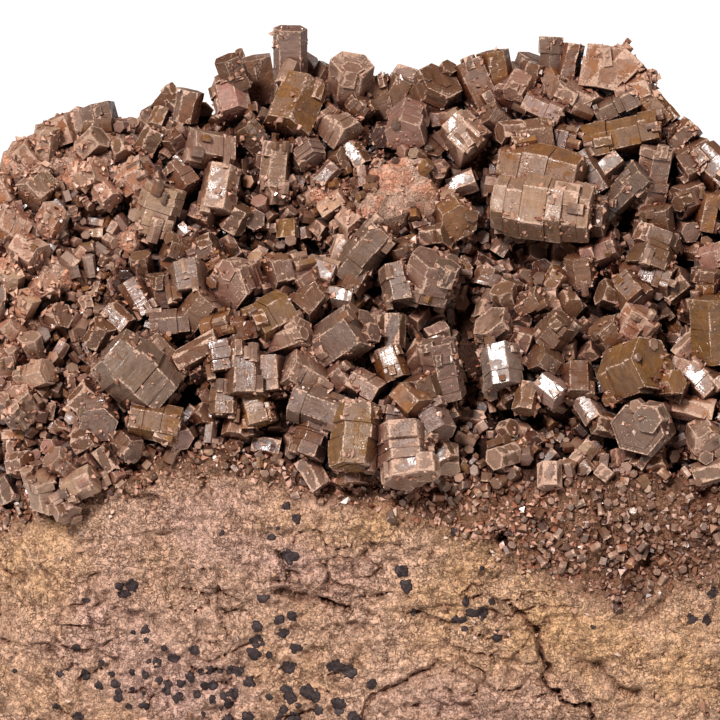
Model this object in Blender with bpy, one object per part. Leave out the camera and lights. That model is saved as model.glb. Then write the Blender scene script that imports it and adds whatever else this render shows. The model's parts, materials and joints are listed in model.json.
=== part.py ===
"""Vanadinite on matrix: a broken lump of iron-stained rock with groups of six-sided crystals on its upper face.

Metres, +Z up. The lump stands on its flat base at z = 0 and shows its crystals towards -Y and up.
The places of the crystals are given as they show from EYE: millimetres right and up of VIEW_CENTRE.
"""

import math
import random
from typing import NamedTuple

import bmesh
import bpy
from mathutils import Matrix, Vector, noise
from mathutils.bvhtree import BVHTree

MM = 0.001
CLEARANCE = 0.3 * MM  # between solids that touch in the real specimen
SAME_POINT = 0.003 * MM  # points closer than this are one

# The side that the crystals are read from
EYE_ELEVATION = math.radians(25)
EYE_DISTANCE = 420 * MM
VIEW_CENTRE = Vector((0, 0, 31 * MM))
RIGHT = Vector((1, 0, 0))
UP = Vector((0, math.sin(EYE_ELEVATION), math.cos(EYE_ELEVATION)))
OUT = Vector((0, -math.cos(EYE_ELEVATION), math.sin(EYE_ELEVATION)))
EYE = VIEW_CENTRE + OUT * EYE_DISTANCE

# The rock
HEART = Vector((0, 0, 28.5 * MM))  # the point that the rock's broken faces are measured from
EDGE_SHARPNESS = 22  # higher leaves the edges between broken faces sharper
BASE_TRIM = 1.2 * MM  # how much of the underside is ground flat
ROCK_TRIANGLES = 2000
ROCK_SUBDIVISIONS = 6

# azimuth (0 faces -Y, 90 faces +X), elevation, distance from HEART in mm
BROKEN_FACES = (
    (0, 7, 18.5),  # bare front wall
    (0, 45, 12.0),  # slope that carries the crystals
    (-50, 14, 33.0),  # front left corner
    (50, 8, 38.5),  # front right corner
    (-90, 10, 41.5),  # left end
    (90, 6, 42.0),  # right end
    (-84, -38, 50.0),  # under the left end
    (78, -42, 51.5),  # under the right end
    (178, 4, 21.5),  # back
    (186, 48, 30.5),  # back, above
    (170, -36, 31.0),  # back, below
    (-138, 12, 35.5),  # back left corner
    (134, 14, 34.5),  # back right corner
    (-122, 44, 41.5),  # back left shoulder
    (118, 40, 37.0),  # back right shoulder
)
# angle of the outline's normal from RIGHT towards UP, distance from VIEW_CENTRE in mm
OUTLINE_FACES = (
    (134, 39.3),  # left shoulder
    (101, 29.8),  # upper left
    (94, 26.5),  # ridge
    (42, 39.8),  # right shoulder
)
# right, up, radius across, radius up, height (all mm): swells and hollows of the seen side
SWELLS = (
    (-10, 0, 9, 8, 2.4),  # under the left and centre crystals
    (4, -5, 7, 6, 2.6),  # under the lower crystals
    (17, 0, 7, 7, 2.2),  # under the crystals right of the dark cleft
    (21, 21, 9, 7, 2.0),  # under the top right crystals
    (-26, -3, 7, 7, 1.4),
    (11.0, 0.5, 2.6, 5.0, -3.2),  # dark cleft
    (-9.0, -6.5, 2.6, 3.6, -2.6),  # dark gap, lower left
    (-24.5, 14, 2.4, 5, -2.0),
    (4.5, 15.5, 6, 4.5, 1.6),  # bare clay-stained rib
    (28, -21, 7, 4.2, -3.4),  # hollow lined with druse
    (22, -29, 3.0, 1.6, -1.0),
    (27, -33, 4.2, 1.6, -1.6),  # groove that leaves the hollow
    (-1, -12.6, 15, 1.5, -1.8),  # undercut below the crystals
    (-5, -19, 3.6, 1.3, 0.8),  # ledges of the bare wall
    (11, -24, 6.0, 1.6, 0.9),
    (-28, -26, 8.0, 3.0, 0.8),
    (13, -31, 5.5, 5.0, 1.0),
    (33, -27, 4.5, 4.5, 1.2),
)
LUMPS = ((9 * MM, 1.1 * MM), (3.6 * MM, 0.45 * MM))  # size and height of the irregular lumps


class Crystal(NamedTuple):
    """A six-sided prism. Places and sizes in mm, angles in degrees."""

    right: float  # its middle, as seen from EYE
    up: float
    across: float  # across flats
    length: float
    turn: float  # where its free end points in the view, anticlockwise from right
    toward: float  # how far its free end leans out of the view towards EYE
    roll: float = 0  # turns it about its own axis; at 0 a flat side faces EYE
    lift: float = 0  # how far it stands out beyond its usual seat on the rock
    flat: float = 1  # thickness of the pair of sides that faces EYE, relative to the others
    bulge: float = 0  # share by which a barrel-shaped crystal is wider at its middle


SEEN_GROUPS = {
    "tall_crystal_group": (
        Crystal(-6.9, 29.3, 3.0, 8.0, 90, 20, -4, flat=0.8),
        Crystal(-6.5, 25.2, 5.0, 5.6, -112, 25, 28, lift=0.8),
        Crystal(-8.4, 19.6, 2.8, 4.4, 85, 10, 10),
        Crystal(-5.2, 20.6, 3.0, 2.6, -60, 40, 10, lift=0.6),
        Crystal(-10.3, 28.0, 3.4, 4.6, 100, 15, 30),
        Crystal(-12.9, 26.0, 3.6, 3.8, -75, 30, 5),
        Crystal(-12.7, 28.7, 2.8, 3.4, 110, 20, 20),
        Crystal(-3.8, 27.8, 2.6, 3.6, 60, 10, 12),
        Crystal(-10.6, 22.4, 2.6, 3.2, 130, 15, 20),
    ),
    "ridge_middle_group": (
        Crystal(-1.0, 28.0, 4.0, 4.2, 80, 35, 0),
        Crystal(1.9, 26.2, 2.8, 4.4, 105, 5, 8, lift=0.6),
        Crystal(3.9, 26.6, 2.8, 3.2, 60, 10, 0),
        Crystal(-2.2, 23.0, 3.6, 3.6, -40, 30, 20),
        Crystal(-0.4, 24.8, 2.6, 3.2, 50, 25, 0),
        Crystal(4.8, 23.4, 3.6, 4.6, -110, 55, 0, lift=0.8),
        Crystal(7.4, 26.6, 4.2, 3.8, 60, 40, 10),
        Crystal(10.4, 22.2, 4.0, 3.6, -45, 20, 0, lift=0.4),
        Crystal(6.6, 20.6, 3.0, 2.6, 70, 40, 15),
        Crystal(-2.4, 19.6, 2.6, 2.8, 20, 40, 0),
    ),
    "top_right_group": (
        Crystal(13.7, 27.8, 2.8, 6.2, 100, 8, 5, lift=0.4),
        Crystal(11.9, 27.6, 3.6, 4.8, 115, 0, 0),
        Crystal(19.0, 29.5, 2.4, 5.6, 88, 5, 30),
        Crystal(15.5, 26.9, 3.0, 3.6, -120, 45, 10, lift=0.5),
        Crystal(19.5, 27.2, 3.0, 3.4, -70, 30, 15, lift=0.4),
        Crystal(18.2, 24.8, 2.6, 4.0, -25, 10, 0, lift=0.6),
        Crystal(20.8, 26.0, 3.8, 3.8, 160, 15, 0),
        Crystal(22.6, 26.2, 3.0, 3.2, -60, 35, 0),
        Crystal(17.0, 21.8, 4.0, 3.8, -170, 15, 0, lift=0.6),
        Crystal(20.4, 21.9, 2.8, 3.0, -15, 20, 0, lift=0.4),
        Crystal(13.6, 23.6, 3.0, 3.2, 140, 25, 15),
        Crystal(24.2, 29.2, 4.0, 4.4, 80, 0, 15),
        Crystal(26.0, 29.0, 3.4, 3.6, 45, 0, 0),
    ),
    "shoulder_group": (
        Crystal(26.2, 22.4, 3.6, 7.6, 12, 10, 0, lift=0.6),
        Crystal(25.8, 25.4, 2.8, 4.6, 25, 10, 5, lift=0.3),
        Crystal(27.6, 26.8, 3.0, 3.4, 20, 20, 0),
        Crystal(29.6, 25.0, 2.6, 3.4, -50, 5, 0),
        Crystal(30.7, 22.4, 2.6, 2.2, -10, 40, 0, lift=0.4),
        Crystal(33.3, 19.6, 4.2, 4.2, -150, 20, 10),
        Crystal(35.4, 19.2, 3.6, 4.2, -45, 15, 0),
        Crystal(29.3, 18.2, 3.4, 6.2, 80, 15, 20),
        Crystal(32.7, 16.0, 3.0, 3.0, -160, 35, 0),
        Crystal(34.8, 14.8, 2.6, 3.8, 80, 10, 0),
        Crystal(26.2, 16.6, 2.8, 6.2, 45, 15, 10, lift=0.5),
        Crystal(23.0, 18.6, 2.6, 4.6, -60, 10, 0, lift=0.3),
        Crystal(29.8, 13.6, 3.0, 3.4, 100, 20, 0),
        Crystal(38.2, 16.0, 4.0, 4.4, 30, 10, 12),
        Crystal(38.6, 11.6, 3.2, 3.8, -20, 25, 0),
    ),
    "barrel_group": (
        Crystal(18.1, 18.8, 4.2, 8.0, -12, 18, 0, lift=0.8, bulge=0.16),
        Crystal(18.3, 15.2, 5.2, 9.6, -8, 10, 0, lift=1.2, bulge=0.10),
        Crystal(22.8, 14.4, 3.8, 3.6, -5, 15, 0, lift=1.2),
        Crystal(14.6, 15.6, 3.0, 3.0, 170, 10, 0, lift=0.4),
    ),
    "upper_left_group": (
        Crystal(-17.8, 18.2, 2.8, 3.2, -50, 20, 30, lift=0.4),
        Crystal(-20.1, 15.0, 3.6, 5.0, 72, 10, 0, lift=0.3, flat=0.8),
        Crystal(-14.1, 17.0, 3.4, 4.8, -100, 15, 10, lift=0.5),
        Crystal(-15.2, 21.0, 4.0, 4.2, 170, 25, 20),
        Crystal(-18.0, 21.4, 2.6, 3.0, 120, 30, 0),
        Crystal(-22.4, 18.4, 3.0, 3.2, 30, 25, 12),
    ),
    "left_middle_group": (
        Crystal(-17.2, 7.8, 4.0, 3.2, -80, 25, 0, lift=0.5),
        Crystal(-19.9, 7.0, 2.6, 3.2, 95, 10, 0, lift=0.3),
        Crystal(-22.0, 6.2, 2.6, 3.8, -60, 10, 0),
        Crystal(-16.2, 4.8, 2.8, 4.0, 50, 20, 5, lift=0.4),
        Crystal(-18.9, 3.6, 2.8, 3.8, 5, 5, 0, lift=0.2),
        Crystal(-14.0, 3.3, 3.0, 3.0, 15, 25, 0, lift=0.4),
        Crystal(-12.4, 7.6, 4.2, 3.4, -160, 55, 0, lift=0.3),
        Crystal(-15.6, 10.8, 3.0, 2.8, 20, 15, 0),
        Crystal(-18.2, 10.8, 2.6, 2.8, 160, 25, 0),
    ),
    "plate_group": (
        Crystal(-22.4, -1.4, 4.8, 7.2, 138, 10, 5, lift=1.0, bulge=0.18),
        Crystal(-19.4, 0.2, 3.0, 5.0, 132, 5, 20),
        Crystal(-20.4, -6.2, 3.2, 4.8, -10, 5, 0, lift=0.6),
        Crystal(-25.2, -3.2, 2.6, 2.8, -30, 40, 0),
        Crystal(-26.1, -5.6, 3.6, 3.4, -90, 60, 15, lift=0.3),
        Crystal(-23.4, -8.4, 2.8, 2.8, -40, 40, 0),
    ),
    "lower_left_group": (
        Crystal(-31.6, -13.0, 3.0, 3.2, 100, 30, 10),
        Crystal(-28.0, -12.4, 2.8, 3.2, 25, 15, 0, lift=0.2),
        Crystal(-29.6, -14.4, 2.6, 2.8, -60, 30, 0),
        Crystal(-29.8, -10.4, 2.6, 2.8, 140, 30, 0),
    ),
    "left_edge_group": (
        Crystal(-34.2, -4.4, 3.6, 3.2, 120, 40, 20, lift=0.2),
        Crystal(-35.4, -0.6, 3.2, 3.4, 100, 30, 0),
        Crystal(-32.4, -1.6, 2.8, 3.0, 20, 30, 15),
        Crystal(-36.8, -4.0, 3.0, 3.0, 170, 20, 0),
    ),
    "left_shoulder_group": (
        Crystal(-32.4, 17.0, 3.2, 3.0, -135, 40, 0),
        Crystal(-35.0, 13.4, 3.2, 3.2, 150, 20, 10),
        Crystal(-31.0, 13.8, 2.8, 3.0, 60, 30, 0, lift=0.2),
        Crystal(-33.0, 10.8, 3.2, 3.0, -30, 30, 0),
        Crystal(-35.8, 16.6, 2.8, 3.2, 120, 10, 0),
    ),
    "centre_group": (
        Crystal(-7.6, 8.8, 3.6, 3.4, -165, 25, 0, lift=0.4),
        Crystal(-3.9, 8.8, 2.6, 3.0, -20, 30, 10, lift=0.2),
        Crystal(-5.4, 5.4, 3.2, 3.0, -130, 35, 0, lift=0.8),
        Crystal(-5.0, 7.2, 3.0, 3.2, 120, 10, 0),
        Crystal(-8.9, 4.3, 4.0, 4.0, -150, 20, 0, lift=0.8),
        Crystal(-11.3, 3.0, 3.2, 3.4, -170, 10, 0),
        Crystal(-7.3, 2.2, 2.6, 4.6, 20, 35, 0, lift=0.6),
        Crystal(-1.9, 2.2, 4.2, 5.0, 35, 30, 0, lift=0.6),
    ),
    "rib_group": (
        Crystal(0.4, 10.6, 3.4, 6.2, 50, 10, 0, lift=0.3),
        Crystal(-0.8, 8.0, 2.6, 3.0, -120, 20, 0),
        Crystal(3.8, 7.4, 3.0, 3.8, -80, 20, 0, lift=0.4),
        Crystal(7.1, 8.2, 4.8, 4.0, 70, 25, 20, lift=0.4),
        Crystal(4.6, 10.4, 2.8, 3.0, 110, 25, 0),
        Crystal(-0.5, 13.4, 3.2, 3.0, -45, 50, 0, lift=0.2),
        Crystal(9.4, 14.4, 3.4, 3.2, -60, 60, 0, lift=0.4),
    ),
    "lower_stack_group": (
        Crystal(-11.5, -1.4, 3.6, 4.4, -90, 15, 0, lift=0.6),
        Crystal(-13.8, 0.0, 3.2, 3.0, -80, 20, 0, lift=0.2),
        Crystal(-13.4, -3.8, 2.8, 3.4, -95, 10, 0, lift=0.3),
        Crystal(-9.3, -1.6, 3.2, 3.6, -85, 15, 0, lift=0.2),
        Crystal(-10.4, -4.8, 3.2, 3.4, -75, 10, 0, lift=0.5),
    ),
    "lower_middle_group": (
        Crystal(-5.7, -1.6, 3.6, 3.8, 150, 20, 0),
        Crystal(-4.4, -4.8, 3.8, 4.8, -20, 10, 0, lift=0.6),
        Crystal(-4.8, -7.8, 3.2, 3.8, -110, 10, 0),
        Crystal(-0.4, -7.6, 4.2, 6.2, -95, 15, 0, lift=0.9, bulge=0.12),
        Crystal(-2.0, -2.0, 3.0, 3.0, 40, 30, 0),
        Crystal(0.6, -2.9, 3.0, 3.2, -30, 20, 0, lift=0.3),
        Crystal(3.0, -0.6, 2.6, 3.2, -70, 15, 0, lift=0.3),
        Crystal(-0.6, -11.0, 2.8, 2.6, -90, 10, 0),
    ),
    "lower_right_group": (
        Crystal(8.2, -1.0, 3.4, 5.8, 100, 15, 10, lift=0.6),
        Crystal(5.1, -4.4, 3.2, 3.0, -45, 35, 0, lift=0.9),
        Crystal(7.2, -6.0, 3.2, 3.8, -60, 30, 0, lift=0.3),
        Crystal(4.5, -9.4, 4.8, 5.4, -85, 20, 0, lift=0.8),
        Crystal(3.4, -6.4, 3.2, 3.0, -100, 10, 0),
        Crystal(6.6, -3.2, 3.0, 3.4, 110, 15, 0),
    ),
    "right_middle_group": (
        Crystal(14.1, -0.7, 3.6, 4.0, -80, 25, 0, lift=0.7),
        Crystal(19.0, -3.0, 2.6, 2.8, -40, 30, 0, lift=0.3),
        Crystal(21.8, -2.2, 2.8, 3.2, -90, 30, 0, lift=0.3),
        Crystal(19.5, 2.8, 3.0, 3.2, 50, 20, 0, lift=0.4),
        Crystal(13.8, 2.8, 3.4, 3.4, 130, 30, 0, lift=0.2),
        Crystal(17.2, 5.6, 2.6, 2.8, 30, 30, 0),
        Crystal(18.6, -0.2, 2.6, 2.8, 150, 30, 0),
    ),
    "hexagon_group": (
        Crystal(27.6, -1.3, 5.6, 5.0, 20, 45, 10, lift=0.9),
        Crystal(28.2, -6.8, 5.2, 3.8, -160, 65, 0, lift=0.7),
        Crystal(27.3, 3.4, 3.2, 3.6, 60, 20, 0, lift=0.4),
        Crystal(25.0, 2.2, 3.0, 3.2, 130, 20, 0),
        Crystal(31.1, -3.0, 2.8, 3.4, -20, 20, 0),
    ),
    "right_upper_group": (
        Crystal(29.3, 10.8, 4.2, 3.8, -110, 15, 0, lift=0.5),
        Crystal(27.8, 9.0, 2.8, 3.0, 30, 20, 0),
        Crystal(29.8, 8.2, 3.0, 3.2, -20, 20, 0, lift=0.2),
        Crystal(27.2, 6.8, 3.2, 3.0, -50, 35, 0, lift=0.5),
        Crystal(24.4, 11.0, 3.0, 2.8, 20, 20, 0),
        Crystal(22.0, 9.0, 2.6, 3.0, 100, 20, 0),
    ),
    "right_edge_group": (
        Crystal(35.5, 3.1, 4.6, 6.4, 95, 10, 10, lift=0.6),
        Crystal(34.3, -2.1, 3.0, 3.4, -45, 20, 0),
        Crystal(34.5, -7.9, 3.2, 3.0, -60, 55, 0),
        Crystal(34.5, 7.4, 2.6, 3.4, 85, 15, 0),
        Crystal(35.6, 10.2, 2.8, 2.6, 20, 30, 0),
        Crystal(38.4, -1.0, 3.6, 3.6, 10, 20, 0),
        Crystal(38.8, 6.4, 3.4, 3.8, 40, 15, 0),
        Crystal(37.8, -6.4, 3.0, 3.2, -40, 25, 0),
    ),
}

# Crystals of the sides that the seen groups leave: name, azimuth and elevation of the patch from HEART,
# its spread in degrees, and how many crystals it has
UNSEEN_PATCHES = (
    ("left_end_group", -88, 9, 7, 4),
    ("right_end_group", 88, 15, 7, 4),
    ("ridge_back_left_group", -163, 52, 7, 4),
    ("ridge_back_right_group", 158, 50, 7, 4),
    ("back_left_shoulder_group", -126, 38, 7, 4),
    ("back_right_shoulder_group", 124, 44, 7, 4),
)
PATCH_SEED = 23
PATCH_ACROSS = (2.8, 4.6)  # mm, smallest and largest
PATCH_SLENDERNESS = (0.8, 1.5)  # length over width
PATCH_LEAN = 50  # degrees, most that one leans away from the rock's outward direction

WAIST_SHARE = 0.55  # length of a barrel-shaped crystal's wide middle, as a share of its whole length

# The mound that a group grows from
BED_SHARE = 0.75  # its top's radius, as a share of the way out to the farthest crystal's middle
BED_HEIGHT = 1.0 * MM
BED_SLOPE = 1.2 * MM
BED_SIDES = 8


def clear_scene():
    for obj in list(bpy.data.objects):
        bpy.data.objects.remove(obj)


def new_collection(name):
    collection = bpy.data.collections.new(name)
    bpy.context.scene.collection.children.link(collection)
    return collection


def new_material(name, colour, roughness):
    material = bpy.data.materials.new(name)
    material.use_nodes = True
    surface = material.node_tree.nodes["Principled BSDF"]
    surface.inputs["Base Color"].default_value = (*colour, 1)
    surface.inputs["Roughness"].default_value = roughness
    surface.inputs["Metallic"].default_value = 0
    return material


def new_object(name, bm, collection, material=None):
    mesh = bpy.data.meshes.new(name)
    bm.to_mesh(mesh)
    bm.free()
    obj = bpy.data.objects.new(name, mesh)
    collection.objects.link(obj)
    if material:
        mesh.materials.append(material)
    return obj


def direction(azimuth, elevation):
    """Azimuth 0 faces -Y and 90 faces +X."""
    a, e = math.radians(azimuth), math.radians(elevation)
    return Vector((math.sin(a) * math.cos(e), -math.cos(a) * math.cos(e), math.sin(e)))


def rock_faces():
    """The broken faces as (normal, distance from HEART in metres)."""
    faces = [(direction(azimuth, elevation), far * MM) for azimuth, elevation, far in BROKEN_FACES]
    for angle, far in OUTLINE_FACES:
        normal = RIGHT * math.cos(math.radians(angle)) + UP * math.sin(math.radians(angle))
        faces.append((normal, far * MM + normal.dot(VIEW_CENTRE - HEART)))
    base = Vector((0, 0, -1))
    faces.append((base, HEART.z + BASE_TRIM))
    return faces


def reach(ray, faces):
    """How far the rock goes from HEART along this ray, before its swells and lumps."""
    inverse = 0
    for normal, far in faces:
        facing = normal.dot(ray)
        if facing > 0.02:
            inverse += (facing / far) ** EDGE_SHARPNESS
    return inverse ** (-1 / EDGE_SHARPNESS)


def relief(point, ray):
    """How far the surface stands out of its broken face here."""
    height = sum(tall * noise.noise(point / size + Vector((7, 3, 5))) for size, tall in LUMPS)
    seen = max(0, ray.dot(OUT))
    place = point - VIEW_CENTRE
    right, up = place.dot(RIGHT) / MM, place.dot(UP) / MM
    for x, y, wide, tall, swell in SWELLS:
        away = ((right - x) / wide) ** 2 + ((up - y) / tall) ** 2
        height += min(1, 2 * seen) * swell * MM * math.exp(-away)
    return height


def rock_mesh(name, collection, material):
    """A ball whose points are moved out to the broken faces, with its underside flat at z = 0."""
    faces = rock_faces()
    bm = bmesh.new()
    bmesh.ops.create_icosphere(bm, subdivisions=ROCK_SUBDIVISIONS, radius=1)
    for vert in bm.verts:
        ray = vert.co.normalized()
        point = HEART + ray * reach(ray, faces)
        vert.co = point + ray * relief(point, ray)
        vert.co.z = max(0, vert.co.z)
    obj = new_object(name, bm, collection, material)
    decimate = obj.modifiers.new("coarser", "DECIMATE")
    decimate.ratio = ROCK_TRIANGLES / len(obj.data.polygons)
    return obj


def evaluated_mesh(obj):
    graph = bpy.context.evaluated_depsgraph_get()
    return bpy.data.meshes.new_from_object(obj.evaluated_get(graph))


def flatten_base(mesh):
    """Points that the decimation left just above the base go down to it."""
    for vert in mesh.vertices:
        if vert.co.z < 0.12 * MM:
            vert.co.z = 0


def seat(tree, right, up):
    """Where the line of sight through this place in the view meets the rock. Beside the rock's outline it is
    as far from EYE as the nearest rock below."""
    aim = VIEW_CENTRE + RIGHT * right * MM + UP * up * MM
    line = (aim - EYE).normalized()
    inward = (VIEW_CENTRE - aim).normalized()
    for step in range(40):
        towards = (aim + inward * step * 0.4 * MM - EYE).normalized()
        hit, normal, _, far = tree.ray_cast(EYE, towards)
        if hit:
            return EYE + line * far, normal
    raise ValueError(f"no rock near {right}, {up}")


def hexagon(across, flat):
    """Corners of a six-sided section. Its pair of sides across local Y is flat times as far apart as the rest."""
    normals = [Vector((math.cos(a), math.sin(a))) for a in (math.radians(30 + 60 * k) for k in range(6))]
    far = [across / 2 * (flat if k in (1, 4) else 1) for k in range(6)]
    corners = []
    for k in range(6):
        n, m = normals[k - 1], normals[k]
        d, e = far[k - 1], far[k]
        det = n.x * m.y - n.y * m.x
        corners.append(Vector(((d * m.y - e * n.y) / det, (e * n.x - d * m.x) / det)))
    return corners


def axes_of(turn, toward, roll):
    """Rotation that puts local Z along a crystal and local Y towards EYE."""
    t, w = math.radians(turn), math.radians(toward)
    axis = (RIGHT * math.cos(t) + UP * math.sin(t)) * math.cos(w) + OUT * math.sin(w)
    front = OUT - axis * OUT.dot(axis)
    if front.length < 0.05:
        front = UP - axis * UP.dot(axis)
    front.normalize()
    side = front.cross(axis)
    turned = Matrix((side, front, axis)).transposed().to_4x4()
    return turned @ Matrix.Rotation(math.radians(roll), 4, "Z")


def add_prism(bm, placed, across, length, flat=1):
    """A six-sided prism about the local Z of placed. bm holds nothing else."""
    bmesh.ops.create_cone(bm, cap_ends=True, segments=6, radius1=across, radius2=across, depth=length)
    corners = hexagon(across, flat)
    for vert in bm.verts:
        sector = round(math.atan2(vert.co.y, vert.co.x) / math.radians(60)) % 6
        vert.co.xy = corners[sector]
    bm.transform(placed)


def placed_crystal(tree, crystal):
    """Matrix of a crystal of the seen side: its middle stands out of the rock by what its tilt needs."""
    point, _ = seat(tree, crystal.right, crystal.up)
    lean = math.radians(crystal.toward)
    proud = 0.25 * crystal.across * math.cos(lean) + (0.5 * crystal.length - 1.2) * math.sin(lean)
    proud = (proud + crystal.lift + 0.4) * MM
    return Matrix.Translation(point + (EYE - point).normalized() * proud) @ axes_of(*crystal[4:7])


def seen_prisms(tree, crystals):
    """(matrix, across, length, flat) of each crystal of a seen group, in metres. A barrel-shaped one has a
    shorter and wider prism about its middle."""
    prisms = []
    for c in crystals:
        placed = placed_crystal(tree, c)
        prisms.append((placed, c.across * MM, c.length * MM, c.flat))
        if c.bulge:
            prisms.append((placed, (1 + c.bulge) * c.across * MM, WAIST_SHARE * c.length * MM, c.flat))
    return prisms


def patch_prisms(tree, rng, azimuth, elevation, spread, count):
    """Crystals scattered over one patch of the rock, leaning away from its outward direction."""
    prisms = []
    for _ in range(count):
        a = azimuth + rng.uniform(-spread, spread) * 1.3
        e = elevation + rng.uniform(-spread, spread)
        across = rng.uniform(*PATCH_ACROSS) * MM
        length = across * rng.uniform(*PATCH_SLENDERNESS)
        lean = math.radians(rng.uniform(0, PATCH_LEAN))
        way = rng.uniform(0, 2 * math.pi)
        roll = rng.uniform(0, math.radians(60))
        hit, normal, _, _ = tree.ray_cast(HEART, direction(a, e))
        basis = normal.to_track_quat("Z", "Y").to_matrix().to_4x4()
        tilt = Matrix.Rotation(way, 4, "Z") @ Matrix.Rotation(lean, 4, "X") @ Matrix.Rotation(roll, 4, "Z")
        middle = hit + normal * (0.2 * length)
        prisms.append((Matrix.Translation(middle) @ basis @ tilt, across, length, 1))
    return prisms


def add_bed(bm, tree, prisms, grow=0):
    """The low mound of intergrown crystal that joins a group at its foot."""
    centre = sum((placed.translation for placed, *_ in prisms), Vector()) / len(prisms)
    foot, normal, _, _ = tree.find_nearest(centre)
    wide = BED_SHARE * max((placed.translation - centre).length for placed, *_ in prisms) + grow
    turned = normal.to_track_quat("Z", "Y").to_matrix().to_4x4()
    bmesh.ops.create_cone(
        bm,
        cap_ends=True,
        segments=BED_SIDES,
        radius1=wide + BED_SLOPE,
        radius2=wide,
        depth=2 * (BED_HEIGHT + grow),
        matrix=Matrix.Translation(foot) @ turned,
    )


def add_boolean(obj, operation, other=None, collection=None):
    modifier = obj.modifiers.new(operation.lower(), "BOOLEAN")
    modifier.operation = operation
    modifier.solver = "EXACT"
    if other:
        modifier.object = other
    else:
        modifier.operand_type = "COLLECTION"
        modifier.collection = collection


def cutter_object(name, bm, cutters):
    obj = new_object(name, bm, cutters)
    obj.hide_render = True
    obj.display_type = "WIRE"
    return obj


def keep_largest_body(mesh):
    """Drops the crumbs that a cut leaves beside a group's main body."""
    bm = bmesh.new()
    bm.from_mesh(mesh)
    bmesh.ops.remove_doubles(bm, verts=bm.verts, dist=SAME_POINT)
    left = set(bm.verts)
    bodies = []
    while left:
        edge_of_search = [left.pop()]
        body = set(edge_of_search)
        while edge_of_search:
            vert = edge_of_search.pop()
            for edge in vert.link_edges:
                other = edge.other_vert(vert)
                if other in left:
                    left.remove(other)
                    body.add(other)
                    edge_of_search.append(other)
        bodies.append(body)
    bodies.sort(key=len)
    for body in bodies[:-1]:
        bmesh.ops.delete(bm, geom=list(body), context="VERTS")
    bm.to_mesh(mesh)
    bm.free()


def grown_cutter(name, tree, prisms, cutters):
    """A group made larger by the clearance all round, to cut its neighbours back from it."""
    parts = bpy.data.collections.new(name)
    cutters.children.link(parts)
    for number, (placed, across, length, flat) in enumerate(prisms):
        bm = bmesh.new()
        add_prism(bm, placed, across + 2 * CLEARANCE, length + 2 * CLEARANCE, flat)
        cutter_object(f"{name}_{number}", bm, parts)
    bm = bmesh.new()
    add_bed(bm, tree, prisms, CLEARANCE)
    cutter_object(f"{name}_bed", bm, parts)
    return parts


def box_of(prisms):
    low = [min(p[0].translation[k] - max(p[1], p[2]) for p in prisms) for k in range(3)]
    high = [max(p[0].translation[k] + max(p[1], p[2]) for p in prisms) for k in range(3)]
    return low, high


def boxes_meet(a, b):
    return all(a[0][k] < b[1][k] and b[0][k] < a[1][k] for k in range(3))


def make_group(name, tree, prisms, rock_cutter, neighbours, collection, cutters, material):
    """One solid of crystals grown together, cut back from the rock and from the groups made before it."""
    parts = bpy.data.collections.new(name + "_parts")
    cutters.children.link(parts)
    bm = bmesh.new()
    add_bed(bm, tree, prisms)
    obj = new_object(name, bm, collection, material)
    for number, prism in enumerate(prisms):
        bm = bmesh.new()
        add_prism(bm, *prism)
        cutter_object(f"{name}_{number}", bm, parts)
    add_boolean(obj, "UNION", collection=parts)
    add_boolean(obj, "DIFFERENCE", other=rock_cutter)
    for neighbour in neighbours:
        add_boolean(obj, "DIFFERENCE", collection=neighbour)
    mesh = evaluated_mesh(obj)
    keep_largest_body(mesh)
    obj.modifiers.clear()
    obj.data = mesh


def main():
    clear_scene()
    specimen = new_collection("vanadinite_on_matrix")
    cutters = new_collection("cutters")
    rock_material = new_material("rock", (0.52, 0.32, 0.20), 0.9)
    crystal_material = new_material("vanadinite", (0.26, 0.13, 0.07), 0.35)

    rock = rock_mesh("matrix_rock", specimen, rock_material)
    mesh = evaluated_mesh(rock)
    flatten_base(mesh)
    rock.modifiers.clear()
    rock.data = mesh
    bm = bmesh.new()
    bm.from_mesh(mesh)
    tree = BVHTree.FromBMesh(bm)
    rock_cutter = cutter_object("rock_cutter", bm, cutters)
    grow = rock_cutter.modifiers.new("clearance", "DISPLACE")
    grow.strength = CLEARANCE
    grow.mid_level = 0

    rng = random.Random(PATCH_SEED)
    groups = {name: seen_prisms(tree, crystals) for name, crystals in SEEN_GROUPS.items()}
    for name, *patch in UNSEEN_PATCHES:
        groups[name] = patch_prisms(tree, rng, *patch)
    done = []
    for name, prisms in groups.items():
        box = box_of(prisms)
        near = [cutter for other, cutter in done if boxes_meet(box, other)]
        make_group(name, tree, prisms, rock_cutter, near, specimen, cutters, crystal_material)
        done.append((box, grown_cutter(name + "_grown", tree, prisms, cutters)))


main()
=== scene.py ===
"""The looks of a specimen of vanadinite on matrix: a crust of six-sided brown crystals on iron-stained rock.

Metres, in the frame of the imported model. Places on the seen side are given as they show from EYE:
millimetres right and up of VIEW_CENTRE.
"""

import json
import math
import random
from typing import NamedTuple

import bmesh
import bpy
import numpy as np
from mathutils import Matrix, Vector, noise
from mathutils.bvhtree import BVHTree

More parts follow.
